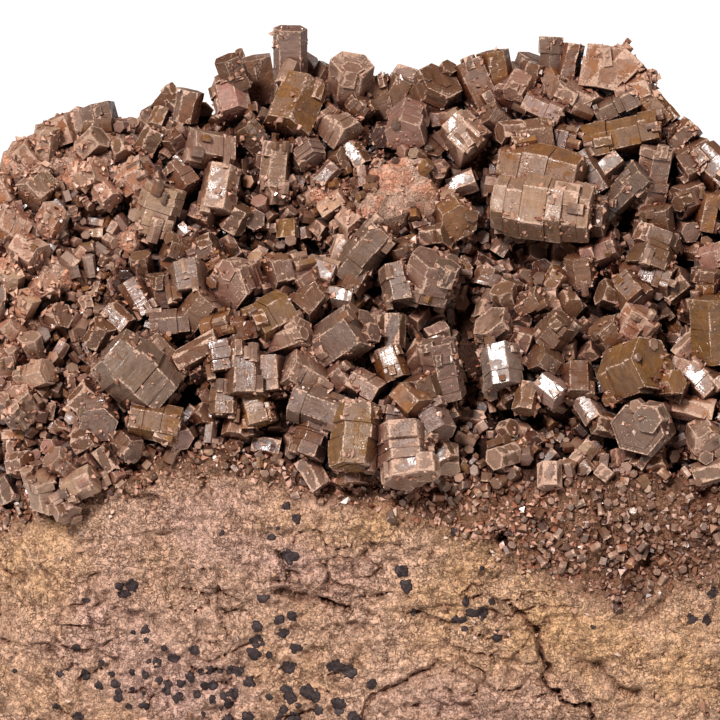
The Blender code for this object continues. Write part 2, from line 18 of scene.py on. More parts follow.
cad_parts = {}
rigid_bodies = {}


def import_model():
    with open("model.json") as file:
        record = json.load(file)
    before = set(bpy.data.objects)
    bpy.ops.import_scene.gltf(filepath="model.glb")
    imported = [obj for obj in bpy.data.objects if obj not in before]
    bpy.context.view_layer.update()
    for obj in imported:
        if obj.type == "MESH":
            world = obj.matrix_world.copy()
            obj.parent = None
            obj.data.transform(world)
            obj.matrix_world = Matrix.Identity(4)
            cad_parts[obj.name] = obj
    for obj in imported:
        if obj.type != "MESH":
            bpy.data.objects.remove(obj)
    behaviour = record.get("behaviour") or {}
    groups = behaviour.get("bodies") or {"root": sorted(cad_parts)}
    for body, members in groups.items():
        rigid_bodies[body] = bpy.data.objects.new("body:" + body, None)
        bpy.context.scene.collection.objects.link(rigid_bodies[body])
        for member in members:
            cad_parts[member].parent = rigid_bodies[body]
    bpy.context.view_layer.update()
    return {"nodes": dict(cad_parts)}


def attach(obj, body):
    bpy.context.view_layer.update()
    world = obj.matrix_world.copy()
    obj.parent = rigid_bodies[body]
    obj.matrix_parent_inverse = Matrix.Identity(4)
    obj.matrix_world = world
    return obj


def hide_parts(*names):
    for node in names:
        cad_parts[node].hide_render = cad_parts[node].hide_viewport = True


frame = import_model()

MM = 0.001

# The photograph's viewpoint
EYE_ELEVATION = math.radians(25)
EYE_DISTANCE = 420 * MM
VIEW_CENTRE = Vector((0, 0, 31 * MM))
VIEW_WIDTH = 72 * MM
SENSOR = 36  # mm
RIGHT = Vector((1, 0, 0))
UP = Vector((0, math.sin(EYE_ELEVATION), math.cos(EYE_ELEVATION)))
OUT = Vector((0, -math.cos(EYE_ELEVATION), math.sin(EYE_ELEVATION)))
EYE = VIEW_CENTRE + OUT * EYE_DISTANCE
HEART = Vector((0, 0, 28.5 * MM))  # inside the rock

# Place, size across (m) and power (W) of the two lights
KEY_LIGHT = (Vector((-0.875, -1.375, 2.08)), 0.5, 158.0)
FILL_LIGHT = (Vector((1.9, -1.2, 1.1)), 1.0, 15.0)
WORLD_TINT = (1, 0.52, 0.38, 1)
WORLD_STRENGTH = 0.13
FLOOR_TONE = (0.64, 0.64, 0.64, 1)
FLOOR_REACH = 1.5  # m
# Faces turned this way mirror the key light
GLEAM = ((KEY_LIGHT[0] - VIEW_CENTRE).normalized() + OUT).normalized()


class Crystal(NamedTuple):
    """A six-sided prism. Places and sizes in mm, angles in degrees."""

    right: float  # its middle, as seen from EYE
    up: float
    across: float  # across flats
    length: float
    turn: float  # where its free end points in the view, anticlockwise from right
    toward: float  # how far its free end leans out of the view towards EYE
    roll: float = 0  # turns it about its own axis; at 0 a flat side faces EYE
    look: str = "brown"
    lift: float = 0  # how far it stands out beyond its usual seat on the rock
    flat: float = 1  # thickness of the pair of sides that faces EYE, relative to the others
    bulge: float = 0  # share by which a barrel-shaped crystal is wider at its middle
    layers: int = 0  # how many growth layers it is built of; 0 leaves that to chance


# The large crystals of each packed group. A row holds the fields of Crystal: right, up, across, length, turn,
# toward, roll, look, lift, flat, bulge, layers.
SEEN_GROUPS = {
    "tall_crystal_group": (
        (-6.9, 29.3, 3.0, 8.0, 90, 20, -4, "grey", 0, 0.8),
        (-6.5, 25.2, 5.0, 5.6, -112, 25, 28, "caramel", 0.8),
        (-8.4, 19.6, 2.8, 4.4, 85, 10, 10, "dusty"),
        (-5.2, 20.6, 3.0, 2.6, -60, 40, 10, "grey", 0.6),
        (-10.3, 28.0, 3.4, 4.6, 100, 15, 30),
        (-12.9, 26.0, 3.6, 3.8, -75, 30, 5, "pink"),
        (-12.7, 28.7, 2.8, 3.4, 110, 20, 20),
        (-3.8, 27.8, 2.6, 3.6, 60, 10, 12),
        (-10.6, 22.4, 2.6, 3.2, 130, 15, 20),
    ),
    "ridge_middle_group": (
        (-1.0, 28.0, 4.0, 4.2, 80, 35, 0, "dusty"),
        (1.9, 26.2, 2.8, 4.4, 105, 5, 8, "brown", 0.6),
        (3.9, 26.6, 2.8, 3.2, 60, 10),
        (-2.2, 23.0, 3.6, 3.6, -40, 30, 20, "dusty"),
        (-0.4, 24.8, 2.6, 3.2, 50, 25),
        (4.8, 23.4, 3.6, 4.6, -110, 55, 0, "pink", 0.8),
        (7.4, 26.6, 4.2, 3.8, 60, 40, 10),
        (10.4, 22.2, 4.0, 3.6, -45, 20, 0, "dusty", 0.4),
        (6.6, 20.6, 3.0, 2.6, 70, 40, 15),
        (-2.4, 19.6, 2.6, 2.8, 20, 40),
    ),
    "top_right_group": (
        (13.7, 27.8, 2.8, 6.2, 100, 8, 5, "caramel", 0.4),
        (11.9, 27.6, 3.6, 4.8, 115, 0),
        (19.0, 29.5, 2.4, 5.6, 88, 5, 30, "grey"),
        (15.5, 26.9, 3.0, 3.6, -120, 45, 10, "pink", 0.5),
        (19.5, 27.2, 3.0, 3.4, -70, 30, 15, "caramel", 0.4),
        (18.2, 24.8, 2.6, 4.0, -25, 10, 0, "pink", 0.6),
        (20.8, 26.0, 3.8, 3.8, 160, 15, 0, "dusty"),
        (22.6, 26.2, 3.0, 3.2, -60, 35, 0, "dusty"),
        (17.0, 21.8, 4.0, 3.8, -170, 15, 0, "brown", 0.6),
        (20.4, 21.9, 2.8, 3.0, -15, 20, 0, "brown", 0.4),
        (13.6, 23.6, 3.0, 3.2, 140, 25, 15),
        (24.2, 29.2, 4.0, 4.4, 80, 0, 15, "clay"),
        (26.0, 29.0, 3.4, 3.6, 45, 0, 0, "clay"),
    ),
    "shoulder_group": (
        (26.2, 22.4, 3.6, 7.6, 12, 10, 0, "caramel", 0.6),
        (25.8, 25.4, 2.8, 4.6, 25, 10, 5, "grey", 0.3),
        (27.6, 26.8, 3.0, 3.4, 20, 20, 0, "clay"),
        (29.6, 25.0, 2.6, 3.4, -50, 5, 0, "caramel"),
        (30.7, 22.4, 2.6, 2.2, -10, 40, 0, "grey", 0.4),
        (33.3, 19.6, 4.2, 4.2, -150, 20, 10),
        (35.4, 19.2, 3.6, 4.2, -45, 15),
        (29.3, 18.2, 3.4, 6.2, 80, 15, 20, "dusty"),
        (32.7, 16.0, 3.0, 3.0, -160, 35),
        (34.8, 14.8, 2.6, 3.8, 80, 10, 0, "caramel"),
        (26.2, 16.6, 2.8, 6.2, 45, 15, 10, "grey", 0.5),
        (23.0, 18.6, 2.6, 4.6, -60, 10, 0, "brown", 0.3),
        (29.8, 13.6, 3.0, 3.4, 100, 20),
        (38.2, 16.0, 4.0, 4.4, 30, 10, 12),
        (38.6, 11.6, 3.2, 3.8, -20, 25),
    ),
    "barrel_group": (
        (18.1, 18.8, 4.2, 8.0, -12, 18, 0, "caramel", 0.8, 1, 0.16, 3),
        (18.3, 15.2, 5.2, 9.6, -8, 10, 0, "tan", 1.2, 1, 0.14, 6),
        (22.8, 14.4, 3.8, 3.6, -5, 15, 0, "grey", 1.2),
        (14.6, 15.6, 3.0, 3.0, 170, 10, 0, "brown", 0.4),
    ),
    "upper_left_group": (
        (-17.8, 18.2, 2.8, 3.2, -50, 20, 30, "brown", 0.4),
        (-20.1, 15.0, 3.6, 5.0, 72, 10, 0, "tan", 0.3, 0.8),
        (-14.1, 17.0, 3.4, 4.8, -100, 15, 10, "dusty", 0.5),
        (-15.2, 21.0, 4.0, 4.2, 170, 25, 20, "pink"),
        (-18.0, 21.4, 2.6, 3.0, 120, 30),
        (-22.4, 18.4, 3.0, 3.2, 30, 25, 12, "clay"),
    ),
    "left_middle_group": (
        (-17.2, 7.8, 4.0, 3.2, -80, 25, 0, "grey", 0.5),
        (-19.9, 7.0, 2.6, 3.2, 95, 10, 0, "brown", 0.3),
        (-22.0, 6.2, 2.6, 3.8, -60, 10),
        (-16.2, 4.8, 2.8, 4.0, 50, 20, 5, "brown", 0.4),
        (-18.9, 3.6, 2.8, 3.8, 5, 5, 0, "grey", 0.2),
        (-14.0, 3.3, 3.0, 3.0, 15, 25, 0, "caramel", 0.4),
        (-12.4, 7.6, 4.2, 3.4, -160, 55, 0, "pink", 0.3),
        (-15.6, 10.8, 3.0, 2.8, 20, 15),
        (-18.2, 10.8, 2.6, 2.8, 160, 25),
    ),
    "plate_group": (
        (-22.4, -1.4, 4.8, 7.2, 138, 10, 5, "grey", 1.0, 1, 0.18, 5),
        (-19.4, 0.2, 3.0, 5.0, 132, 5, 20),
        (-20.4, -6.2, 3.2, 4.8, -10, 5, 0, "caramel", 0.6),
        (-25.2, -3.2, 2.6, 2.8, -30, 40),
        (-26.1, -5.6, 3.6, 3.4, -90, 60, 15, "grey", 0.3),
        (-23.4, -8.4, 2.8, 2.8, -40, 40),
    ),
    "lower_left_group": (
        (-31.6, -13.0, 3.0, 3.2, 100, 30, 10, "tan"),
        (-28.0, -12.4, 2.8, 3.2, 25, 15, 0, "tan", 0.2),
        (-29.6, -14.4, 2.6, 2.8, -60, 30, 0, "tan"),
        (-29.8, -10.4, 2.6, 2.8, 140, 30, 0, "dusty"),
    ),
    "left_edge_group": (
        (-34.2, -4.4, 3.6, 3.2, 120, 40, 20, "dusty", 0.2),
        (-35.4, -0.6, 3.2, 3.4, 100, 30, 0, "dusty"),
        (-32.4, -1.6, 2.8, 3.0, 20, 30, 15, "tan"),
        (-36.8, -4.0, 3.0, 3.0, 170, 20, 0, "dusty"),
    ),
    "left_shoulder_group": (
        (-32.4, 17.0, 3.2, 3.0, -135, 40, 0, "dusty"),
        (-35.0, 13.4, 3.2, 3.2, 150, 20, 10, "clay"),
        (-31.0, 13.8, 2.8, 3.0, 60, 30, 0, "clay", 0.2),
        (-33.0, 10.8, 3.2, 3.0, -30, 30, 0, "clay"),
        (-35.8, 16.6, 2.8, 3.2, 120, 10, 0, "clay"),
    ),
    "centre_group": (
        (-7.6, 8.8, 3.6, 3.4, -165, 25, 0, "brown", 0.4),
        (-3.9, 8.8, 2.6, 3.0, -20, 30, 10, "bright", 0.2),
        (-5.4, 5.4, 3.2, 3.0, -130, 35, 0, "brown", 0.8),
        (-5.0, 7.2, 3.0, 3.2, 120, 10),
        (-8.9, 4.3, 4.0, 4.0, -150, 20, 0, "caramel", 0.8),
        (-11.3, 3.0, 3.2, 3.4, -170, 10),
        (-7.3, 2.2, 2.6, 4.6, 20, 35, 0, "dusty", 0.6),
        (-1.9, 2.2, 4.2, 5.0, 35, 30, 0, "grey", 0.6),
    ),
    "rib_group": (
        (0.4, 10.6, 3.4, 6.2, 50, 10, 0, "grey", 0.3),
        (-0.8, 8.0, 2.6, 3.0, -120, 20),
        (3.8, 7.4, 3.0, 3.8, -80, 20, 0, "grey", 0.4),
        (7.1, 8.2, 4.8, 4.0, 70, 25, 20, "grey", 0.4),
        (4.6, 10.4, 2.8, 3.0, 110, 25),
        (-0.5, 13.4, 3.2, 3.0, -45, 50, 0, "clay", 0.2),
        (9.4, 14.4, 3.4, 3.2, -60, 60, 0, "caramel", 0.4),
    ),
    "lower_stack_group": (
        (-11.5, -1.4, 3.6, 4.4, -90, 15, 0, "brown", 0.6),
        (-13.8, 0.0, 3.2, 3.0, -80, 20, 0, "brown", 0.2),
        (-13.4, -3.8, 2.8, 3.4, -95, 10, 0, "brown", 0.3),
        (-9.3, -1.6, 3.2, 3.6, -85, 15, 0, "dusty", 0.2),
        (-10.4, -4.8, 3.2, 3.4, -75, 10, 0, "caramel", 0.5),
    ),
    "lower_middle_group": (
        (-5.7, -1.6, 3.6, 3.8, 150, 20, 0, "dusty"),
        (-4.4, -4.8, 3.8, 4.8, -20, 10, 0, "grey", 0.6),
        (-4.8, -7.8, 3.2, 3.8, -110, 10),
        (-0.4, -7.6, 4.2, 6.2, -95, 15, 0, "caramel", 0.9, 1, 0.12, 3),
        (-2.0, -2.0, 3.0, 3.0, 40, 30, 0, "dusty"),
        (0.6, -2.9, 3.0, 3.2, -30, 20, 0, "dusty", 0.3),
        (3.0, -0.6, 2.6, 3.2, -70, 15, 0, "caramel", 0.3),
        (-0.6, -11.0, 2.8, 2.6, -90, 10),
    ),
    "lower_right_group": (
        (8.2, -1.0, 3.4, 5.8, 100, 15, 10, "grey", 0.6),
        (5.1, -4.4, 3.2, 3.0, -45, 35, 0, "caramel", 0.9),
        (7.2, -6.0, 3.2, 3.8, -60, 30, 0, "grey", 0.3),
        (4.5, -9.4, 4.8, 5.4, -85, 20, 0, "dusty", 0.8, 1, 0, 4),
        (3.4, -6.4, 3.2, 3.0, -100, 10),
        (6.6, -3.2, 3.0, 3.4, 110, 15),
    ),
    "right_middle_group": (
        (14.1, -0.7, 3.6, 4.0, -80, 25, 0, "bright", 0.7),
        (19.0, -3.0, 2.6, 2.8, -40, 30, 0, "bright", 0.3),
        (21.8, -2.2, 2.8, 3.2, -90, 30, 0, "brown", 0.3),
        (19.5, 2.8, 3.0, 3.2, 50, 20, 0, "brown", 0.4),
        (13.8, 2.8, 3.4, 3.4, 130, 30, 0, "dusty", 0.2),
        (17.2, 5.6, 2.6, 2.8, 30, 30),
        (18.6, -0.2, 2.6, 2.8, 150, 30),
    ),
    "hexagon_group": (
        (27.6, -1.3, 5.6, 5.0, 20, 45, 10, "caramel", 0.9),
        (28.2, -6.8, 5.2, 3.8, -160, 65, 0, "grey", 0.7),
        (27.3, 3.4, 3.2, 3.6, 60, 20, 0, "clay", 0.4),
        (25.0, 2.2, 3.0, 3.2, 130, 20),
        (31.1, -3.0, 2.8, 3.4, -20, 20),
    ),
    "right_upper_group": (
        (29.3, 10.8, 4.2, 3.8, -110, 15, 0, "brown", 0.5, 1, 0, 4),
        (27.8, 9.0, 2.8, 3.0, 30, 20),
        (29.8, 8.2, 3.0, 3.2, -20, 20, 0, "brown", 0.2),
        (27.2, 6.8, 3.2, 3.0, -50, 35, 0, "brown", 0.5),
        (24.4, 11.0, 3.0, 2.8, 20, 20, 0, "pink"),
        (22.0, 9.0, 2.6, 3.0, 100, 20),
    ),
    "right_edge_group": (
        (35.5, 3.1, 4.6, 6.4, 95, 10, 10, "caramel", 0.6),
        (34.3, -2.1, 3.0, 3.4, -45, 20, 0, "dusty"),
        (34.5, -7.9, 3.2, 3.0, -60, 55, 0, "dusty"),
        (34.5, 7.4, 2.6, 3.4, 85, 15),
        (35.6, 10.2, 2.8, 2.6, 20, 30, 0, "pink"),
        (38.4, -1.0, 3.6, 3.6, 10, 20),
        (38.8, 6.4, 3.4, 3.8, 40, 15),
        (37.8, -6.4, 3.0, 3.2, -40, 25),
    ),
}

# Crystals of about 2 mm that fill the gaps between the larger ones, as rows too
SMALL_CRYSTALS = (
    (2.2, 22.6, 2.0, 2.8, -90, 75, 0, "dark", 0.6),
    (-0.4, 20.2, 2.4, 2.8, -50, 20),
    (8.6, 24.0, 2.4, 2.6, 0, 30),
    (21.0, 29.4, 2.2, 4.4, 80, 0),
    (16.9, 28.2, 2.4, 3.4, 70, 10),
    (32.2, 22.4, 2.4, 3.2, 45, 0),
    (24.9, 19.4, 2.4, 2.6, 40, 20, 0, "bright"),
    (-20.9, 22.0, 2.4, 2.8, 60, 20, 10),
    (-15.6, 14.6, 2.2, 2.4, -20, 30, 0, "pink"),
    (-17.2, 25.4, 2.4, 3.2, 80, 10),
    (-23.9, 20.6, 2.2, 2.2, -60, 50),
    (-12.4, 14.2, 2.4, 2.6, 60, 20),
    (-16.2, 0.9, 2.4, 4.8, 30, 10, 5, "brown", 0.6),
    (-21.8, 9.4, 2.0, 2.4, 100, 30),
    (-27.4, -3.8, 2.2, 2.8, 50, 20),
    (-26.0, 2.6, 2.4, 2.6, 60, 30, 0, "brown", 0.3),
    (-24.2, 4.0, 2.4, 2.8, -40, 20),
    (-27.2, -8.0, 2.4, 2.4, 30, 30),
    (-33.8, -10.4, 2.4, 2.4, 10, 50),
    (-30.4, 4.2, 2.4, 2.4, 20, 50),
    (-1.9, 6.4, 2.2, 2.6, -10, 30, 10, "bright"),
    (-5.0, -0.2, 2.4, 3.0, 110, 10),
    (10.2, 17.6, 2.2, 2.8, 20, 30, 0, "bright"),
    (7.6, 12.2, 2.4, 2.6, 10, 30),
    (-12.2, -6.4, 2.4, 2.6, -100, 20),
    (3.2, 2.8, 2.4, 3.4, -90, 10),
    (6.0, 0.2, 2.4, 3.0, 60, 20),
    (8.0, -9.2, 2.4, 2.6, -60, 20),
    (23.0, -4.9, 2.2, 2.6, -60, 40, 0, "bright"),
    (16.2, 1.6, 2.2, 3.0, 75, 20),
    (16.6, -3.8, 2.4, 2.8, -100, 20),
    (14.6, 6.0, 2.4, 2.8, 110, 30),
    (24.6, -6.4, 2.4, 2.6, 170, 20),
    (25.2, 6.4, 2.4, 2.6, 160, 20),
    (33.2, -4.8, 2.4, 4.4, -10, 10, 0, "clay"),
    (31.7, 7.4, 2.4, 2.8, 40, 20),
    (18.9, -11.6, 2.0, 2.4, -90, 20, 0, "dusty"),
    (1.9, -7.7, 1.6, 2.2, -60, 40, 0, "bright", 0.8),
    (-33.4, 20.4, 2.4, 2.8, 130, 20, 0, "clay", 0.4),
    (-31.4, 21.8, 2.4, 3.2, 80, 20, 0, "tan", 0.6),
    (-29.8, 23.0, 2.2, 2.8, 110, 10, 0, "clay", 0.4),
    (-26.8, 21.6, 2.4, 2.6, 40, 30, 0, "dusty", 0.4),
    (-7.8, 25.4, 2.0, 4.2, 76, 0, 0, "bright", 2.2),
    (0.6, 14.6, 2.2, 2.8, 30, 30, 10, "orange", 0.8),
    (-2.6, 15.6, 2.0, 2.8, 35, 20, 0, "orange", 0.5),
    (-27.0, 18.4, 2.4, 2.8, 20, 35, 0, "orange", 0.6),
    (-25.4, 16.6, 2.0, 2.4, -50, 30, 0, "orange", 0.5),
    (-33.6, 5.4, 2.4, 2.8, 60, 30, 0, "orange", 0.5),
    (-35.0, 3.0, 2.4, 2.6, 130, 30, 0, "orange", 0.5),
    (-34.8, 7.4, 2.2, 2.8, 80, 30, 0, "tan", 0.4),
    (-31.6, 7.2, 2.2, 2.6, 30, 40, 0, "orange", 0.5),
    (-32.8, 1.2, 2.2, 2.6, 100, 30, 0, "tan", 0.4),
)

# Places where the rock between crystals stays open and dark: right, up, radius (mm)
CLEFTS = (
    (11.0, 0.5, 1.6), (10.4, 3.6, 1.4), (1.5, 7.0, 1.1), (-8.9, 8.2, 0.9), (-7.0, -4.2, 1.2),
    (-17.0, -3.7, 1.6), (-18.4, 1.6, 1.0), (-14.1, 2.5, 0.8), (-3.4, 1.3, 0.8), (1.8, -8.4, 0.8),
    (9.1, -7.6, 1.0), (-4.7, 11.4, 1.0), (-29.4, 6.8, 0.8), (-25.3, 6.0, 1.0), (-28.4, -0.7, 0.8),
    (-23.1, -10.2, 0.8), (-19.5, 20.7, 1.2), (-23.1, 16.4, 1.0), (-15.6, 16.6, 0.9), (-17.0, 26.0, 0.9),
    (21.8, 21.9, 1.0), (26.7, 19.8, 1.2), (23.0, 23.8, 0.9), (12.9, 14.6, 1.1), (26.5, 13.8, 1.1),
    (31.1, 15.6, 0.9), (31.6, 18.1, 0.9), (23.9, 5.3, 1.3), (23.3, 8.2, 0.9), (31.3, 9.1, 1.0),
    (33.4, 8.2, 0.8), (21.5, -0.6, 0.9), (12.5, -1.0, 0.9), (14.5, -5.6, 0.9), (17.5, -5.6, 0.9),
    (20.5, -5.6, 0.9), (25.5, -5.3, 0.8), (32.4, -3.5, 0.8), (31.6, -10.7, 0.9), (17.0, -10.8, 1.2),
    (12.0, -8.9, 1.2), (25.4, -8.5, 0.9), (31.3, -12.6, 1.0), (34.7, -13.6, 1.0), (14.5, -17.8, 0.6),
    (28.8, -20.3, 0.9), (20.0, -9.5, 0.8),
)

# Lumps of clay between the crystals: right, up, radius across, radius up, height (mm)
CLAY_AREAS = (
    (4.6, 17.4, 4.2, 3.0, 4.0), (2.0, 14.4, 3.0, 2.2, 3.8), (-2.8, 16.4, 3.0, 1.4, 2.8),
    (-34.6, 3.0, 3.2, 4.6, 1.0), (-31.0, 8.4, 3.4, 2.6, 1.0), (-26.8, 19.6, 4.2, 3.4, 1.2),
    (-32.6, 19.8, 3.6, 2.4, 1.4), (-34.8, 8.4, 2.4, 3.0, 1.0), (31.0, 27.4, 5.0, 1.8, 0.4),
    (-23.0, 12.0, 1.6, 1.6, 0.8),
)

# Other areas: right, up, radius across, radius up (mm)
CRUSTED_BARREL = (17.6, 14.6, 5, 2)
PINK_AREAS = ((-14, -16, 8, 4), (-26, -25, 6, 5), (-4, -21, 8, 4), (12, -34, 8, 3), (-18, -33, 9, 4))
OCHRE_AREAS = ((20, -27, 10, 5), (30, -31, 7, 5), (0, -17, 12, 2.5), (-33, -20, 5, 5), (8, -22, 8, 3))

# The outline against the background, where small crystals stop: right, up (mm)
SKYLINE = (
    (-36, 19.6), (-32.5, 22.4), (-30, 24.8), (-24, 25.4), (-20, 27), (-16, 27.5), (-13, 29.6), (-10, 29.8),
    (-4, 29.6), (0, 29.5), (3, 27.8), (6, 27.4), (9, 27.6), (11, 30), (15, 29.4), (17, 29), (19, 31.5),
    (26, 31.4), (28, 29), (31, 25), (33.5, 22.4), (36, 21),
)

# Lower edges of the crystals and of the fine druse below them: right, up (mm)
CRYSTAL_EDGE = ((-36, -14), (-25, -13), (-23, -10.5), (-14, -10.2), (-6, -10.5), (-5, -12.5), (36, -12.5))
DRUSE_EDGE = (
    (-36, -17), (-26, -14), (-20, -11.5), (-14, -11), (-8, -12.5), (-4, -14), (0, -14.5), (4, -15.5),
    (8, -17), (12, -18), (16, -20), (20, -22), (26, -25), (30, -23), (36, -22),
)
FAR_EDGE = 43  # mm above the ground, about where the crystals end on the far side

# Cracks and ledges of the bare rock: depth and half width (mm), then the line
CRACKS = (
    (0.8, 0.28, ((15.1, -24.2), (16.4, -25.8), (17.4, -27), (18.1, -28.5), (18.6, -31.1), (18.9, -32.7),
                 (20.4, -34), (22.7, -34.6), (23.3, -35.9))),
    (0.7, 0.5, ((21.6, -29.4), (23.9, -30.8), (24.7, -31.9), (25.8, -33), (27.6, -33.4))),
    (0.5, 0.4, ((27.8, -26.2), (29.3, -25.2), (31, -23.3))),
    (0.6, 0.3, ((-8.2, -19.2), (-7.4, -20.7), (-7.1, -21.8))),
    (0.7, 0.35, ((-8.3, -23.3), (-6.2, -23.9), (-3.4, -24.3), (-1.3, -24.9))),
    (0.6, 0.3, ((0.55, -35.9), (0.7, -34.7), (1.3, -33.6), (3.9, -32.4), (5.3, -31.6), (7.7, -30.5))),
    (0.4, 0.3, ((5.1, -25.3), (6.4, -25.8), (8.4, -26.1), (9.3, -26.2))),
    (0.5, 0.25, ((-14.3, -23.2), (-13.9, -25.6))),
    (0.4, 0.25, ((-31.9, -20.6), (-31.4, -21.6), (-29.9, -22.1))),
    (0.4, 0.25, ((-13.4, -31.1), (-13.2, -32.4), (-13.8, -33.4))),
    (0.4, 0.25, ((-12.9, -34.2), (-12.4, -36))),
    (0.7, 0.5, ((-34.9, -24.8), (-34.8, -24.9))),
    (0.8, 0.7, ((-33.9, -21.5), (-33.8, -21.6))),
)

# Dark oxide spots: right, up, radius across and, where it differs, radius up (mm)
OXIDE_SPOTS = (
    (-8.8, -17.7, 0.45), (-7.0, -19.6, 0.9, 0.8), (-9.7, -23.9, 0.8, 0.45), (-8.0, -25.9, 0.6),
    (-6.8, -25.6, 0.6), (-10.3, -26.7, 0.7, 0.6), (-7.6, -27.3, 0.6), (-10.3, -28.2, 0.75, 0.7),
    (-10.6, -29.3, 0.8, 0.7), (-9.1, -29.5, 0.45), (-6.4, -28.8, 0.8, 0.5), (-7.1, -30.8, 0.75, 0.7),
    (-12.0, -31.1, 0.5), (-11.1, -32.2, 0.65, 0.6), (-2.5, -30.6, 1.0, 0.8), (-1.2, -31.1, 0.85, 0.8),
    (1.2, -32.4, 0.65, 0.6), (-9.1, -33.7, 0.4), (-7.4, -32.9, 0.8, 0.45), (-7.0, -33.7, 0.85, 0.8),
    (-5.4, -33.1, 0.8, 0.75), (-4.5, -33.6, 0.8, 0.7), (-7.6, -34.9, 0.5), (-6.2, -34.6, 0.4),
    (-4.2, -35.0, 0.6), (-2.1, -34.3, 0.8, 0.7), (-2.1, -35.1, 0.5), (-11.2, -35.7, 0.75, 0.6),
    (-7.9, -35.9, 0.7, 0.6), (-6.5, -35.7, 0.8, 0.7), (-0.7, -35.9, 0.9, 0.8), (4.2, -21.2, 0.75, 0.7),
    (4.7, -22.6, 0.75, 0.7), (9.4, -17.2, 0.5), (5.4, -25.2, 0.4), (10.6, -24.1, 0.5),
    (11.4, -25.3, 1.0, 0.5), (10.0, -26.0, 0.9, 0.45), (10.5, -26.9, 0.4), (-7.4, -14.6, 0.5),
    (-6.3, -15.8, 0.6), (-8.2, -16.8, 0.25), (13.8, -27.5, 0.7), (12.2, -25.3, 0.75), (13.2, -24.2, 0.4),
    (33.2, -25.9, 0.55), (34.6, -26.0, 0.55), (35.3, -23.3, 0.55), (23.3, -26.7, 0.3), (17.9, -20.8, 0.35),
    (12.2, -20.8, 0.3), (-27.4, -24.0, 0.5, 0.25), (-24.1, -22.6, 0.5), (-22.8, -22.5, 0.7),
    (-23.6, -23.4, 0.8, 0.45), (-28.4, -28.8, 0.5), (-21.5, -27.0, 0.55), (-22.7, -27.2, 0.3),
    (-21.4, -28.0, 0.35), (-19.6, -28.8, 0.4), (-16.6, -29.0, 0.65, 0.6), (-18.6, -29.8, 0.8, 0.55),
    (-20.3, -30.3, 0.6), (-21.1, -30.1, 0.3), (-25.9, -30.3, 0.4), (-27.4, -31.5, 0.6), (-24.8, -31.4, 0.4),
    (-22.8, -31.2, 0.4), (-21.5, -31.5, 0.5), (-20.2, -32.1, 0.5), (-19.2, -32.4, 0.5), (-19.3, -33.1, 0.5),
    (-17.9, -32.4, 0.5), (-18.2, -33.7, 0.6), (-16.9, -31.7, 0.5, 0.7), (-15.8, -31.2, 0.45),
    (-15.0, -31.0, 0.55), (-14.0, -31.1, 0.35), (-12.4, -31.0, 0.85, 0.55), (-15.5, -32.6, 0.5),
    (-14.6, -32.6, 0.6), (-16.3, -33.4, 0.6, 0.4), (-14.8, -33.9, 0.4, 0.6), (-12.7, -33.4, 0.7, 0.6),
    (-13.6, -33.6, 0.45), (-13.2, -34.4, 0.6), (-13.2, -35.9, 0.6), (-13.9, -34.8, 0.3),
    (-15.6, -35.4, 0.3), (-21.5, -34.5, 0.65, 0.5), (-24.4, -32.4, 0.5), (-24.1, -33.2, 0.45),
    (-24.1, -33.8, 0.55, 0.5), (-22.8, -32.9, 0.3), (-21.6, -33.3, 0.25), (-23.1, -34.6, 0.4),
    (-26.1, -32.5, 0.5), (-30.0, -31.4, 0.4), (-30.4, -34.6, 0.4), (-28.2, -35.6, 0.7, 0.4),
    (-34.5, -31.1, 0.3), (-13.8, -17.3, 0.35),
)

# Crystals of the sides away from EYE, one row for each packed group: azimuth and elevation from HEART, spread
# (degrees), how many
UNSEEN_PATCHES = (
    ("left_end_group", -88, 9, 7, 4),
    ("right_end_group", 88, 15, 7, 4),
    ("ridge_back_left_group", -163, 52, 7, 4),
    ("ridge_back_right_group", 158, 50, 7, 4),
    ("back_left_shoulder_group", -126, 38, 7, 4),
    ("back_right_shoulder_group", 124, 44, 7, 4),
)
PATCH_SEED = 23
PATCH_ACROSS = (2.8, 4.6)  # mm
PATCH_SLENDERNESS = (0.8, 1.5)  # length over width
PATCH_LEAN = 50  # degrees

# Colour of a crystal's faces, and how much dust lies on them
LOOKS = {
    "brown": ((0.108, 0.050, 0.026), 0.05),
    "dark": ((0.040, 0.012, 0.006), 0.0),
    "caramel": ((0.138, 0.061, 0.021), 0.0),
    "grey": ((0.114, 0.066, 0.046), 0.10),
    "tan": ((0.220, 0.131, 0.083), 0.4),
    "pink": ((0.185, 0.092, 0.066), 0.3),
    "dusty": ((0.142, 0.078, 0.050), 0.6),
    "clay": ((0.23, 0.095, 0.044), 0.9),
    "orange": ((0.36, 0.195, 0.12), 0.3),
    # bright: paler and greyer than brown, partly painted sheen, for crystals turned to mirror the key light
    # and some small ones
    "bright": ((0.20, 0.135, 0.105), 0.0),
}

# How often each look comes up: on the crystals of about 2 mm, on those under crumbs, in the druse and on
# growth steps
FILL_LOOKS = {"brown": 4, "grey": 3, "dusty": 3, "caramel": 2, "pink": 1, "tan": 1, "bright": 0.7, "dark": 1}
COATED_LOOKS = {"tan": 4, "dusty": 3, "clay": 2, "pink": 2, "orange": 1.5}
DRUSE_LOOKS = {"brown": 4, "tan": 3, "dusty": 3, "clay": 1.5, "grey": 2, "dark": 1.5, "bright": 0.5}
STEP_LOOKS = {"brown": 3, "grey": 2, "dusty": 4, "caramel": 2, "tan": 1, "pink": 1}
UNSEEN_LOOKS = ("brown", "grey", "dusty", "caramel")

# Colours of the crumbs and how often each comes up
CRUMB_COLOURS = (
    (0.36, 0.21, 0.15), (0.24, 0.12, 0.075), (0.15, 0.055, 0.028), (0.29, 0.15, 0.095), (0.55, 0.45, 0.40),
)
CRUMB_SHARES = (0.36, 0.28, 0.14, 0.19, 0.03)
CLAY_CRUMB = np.array((0.42, 0.25, 0.17))
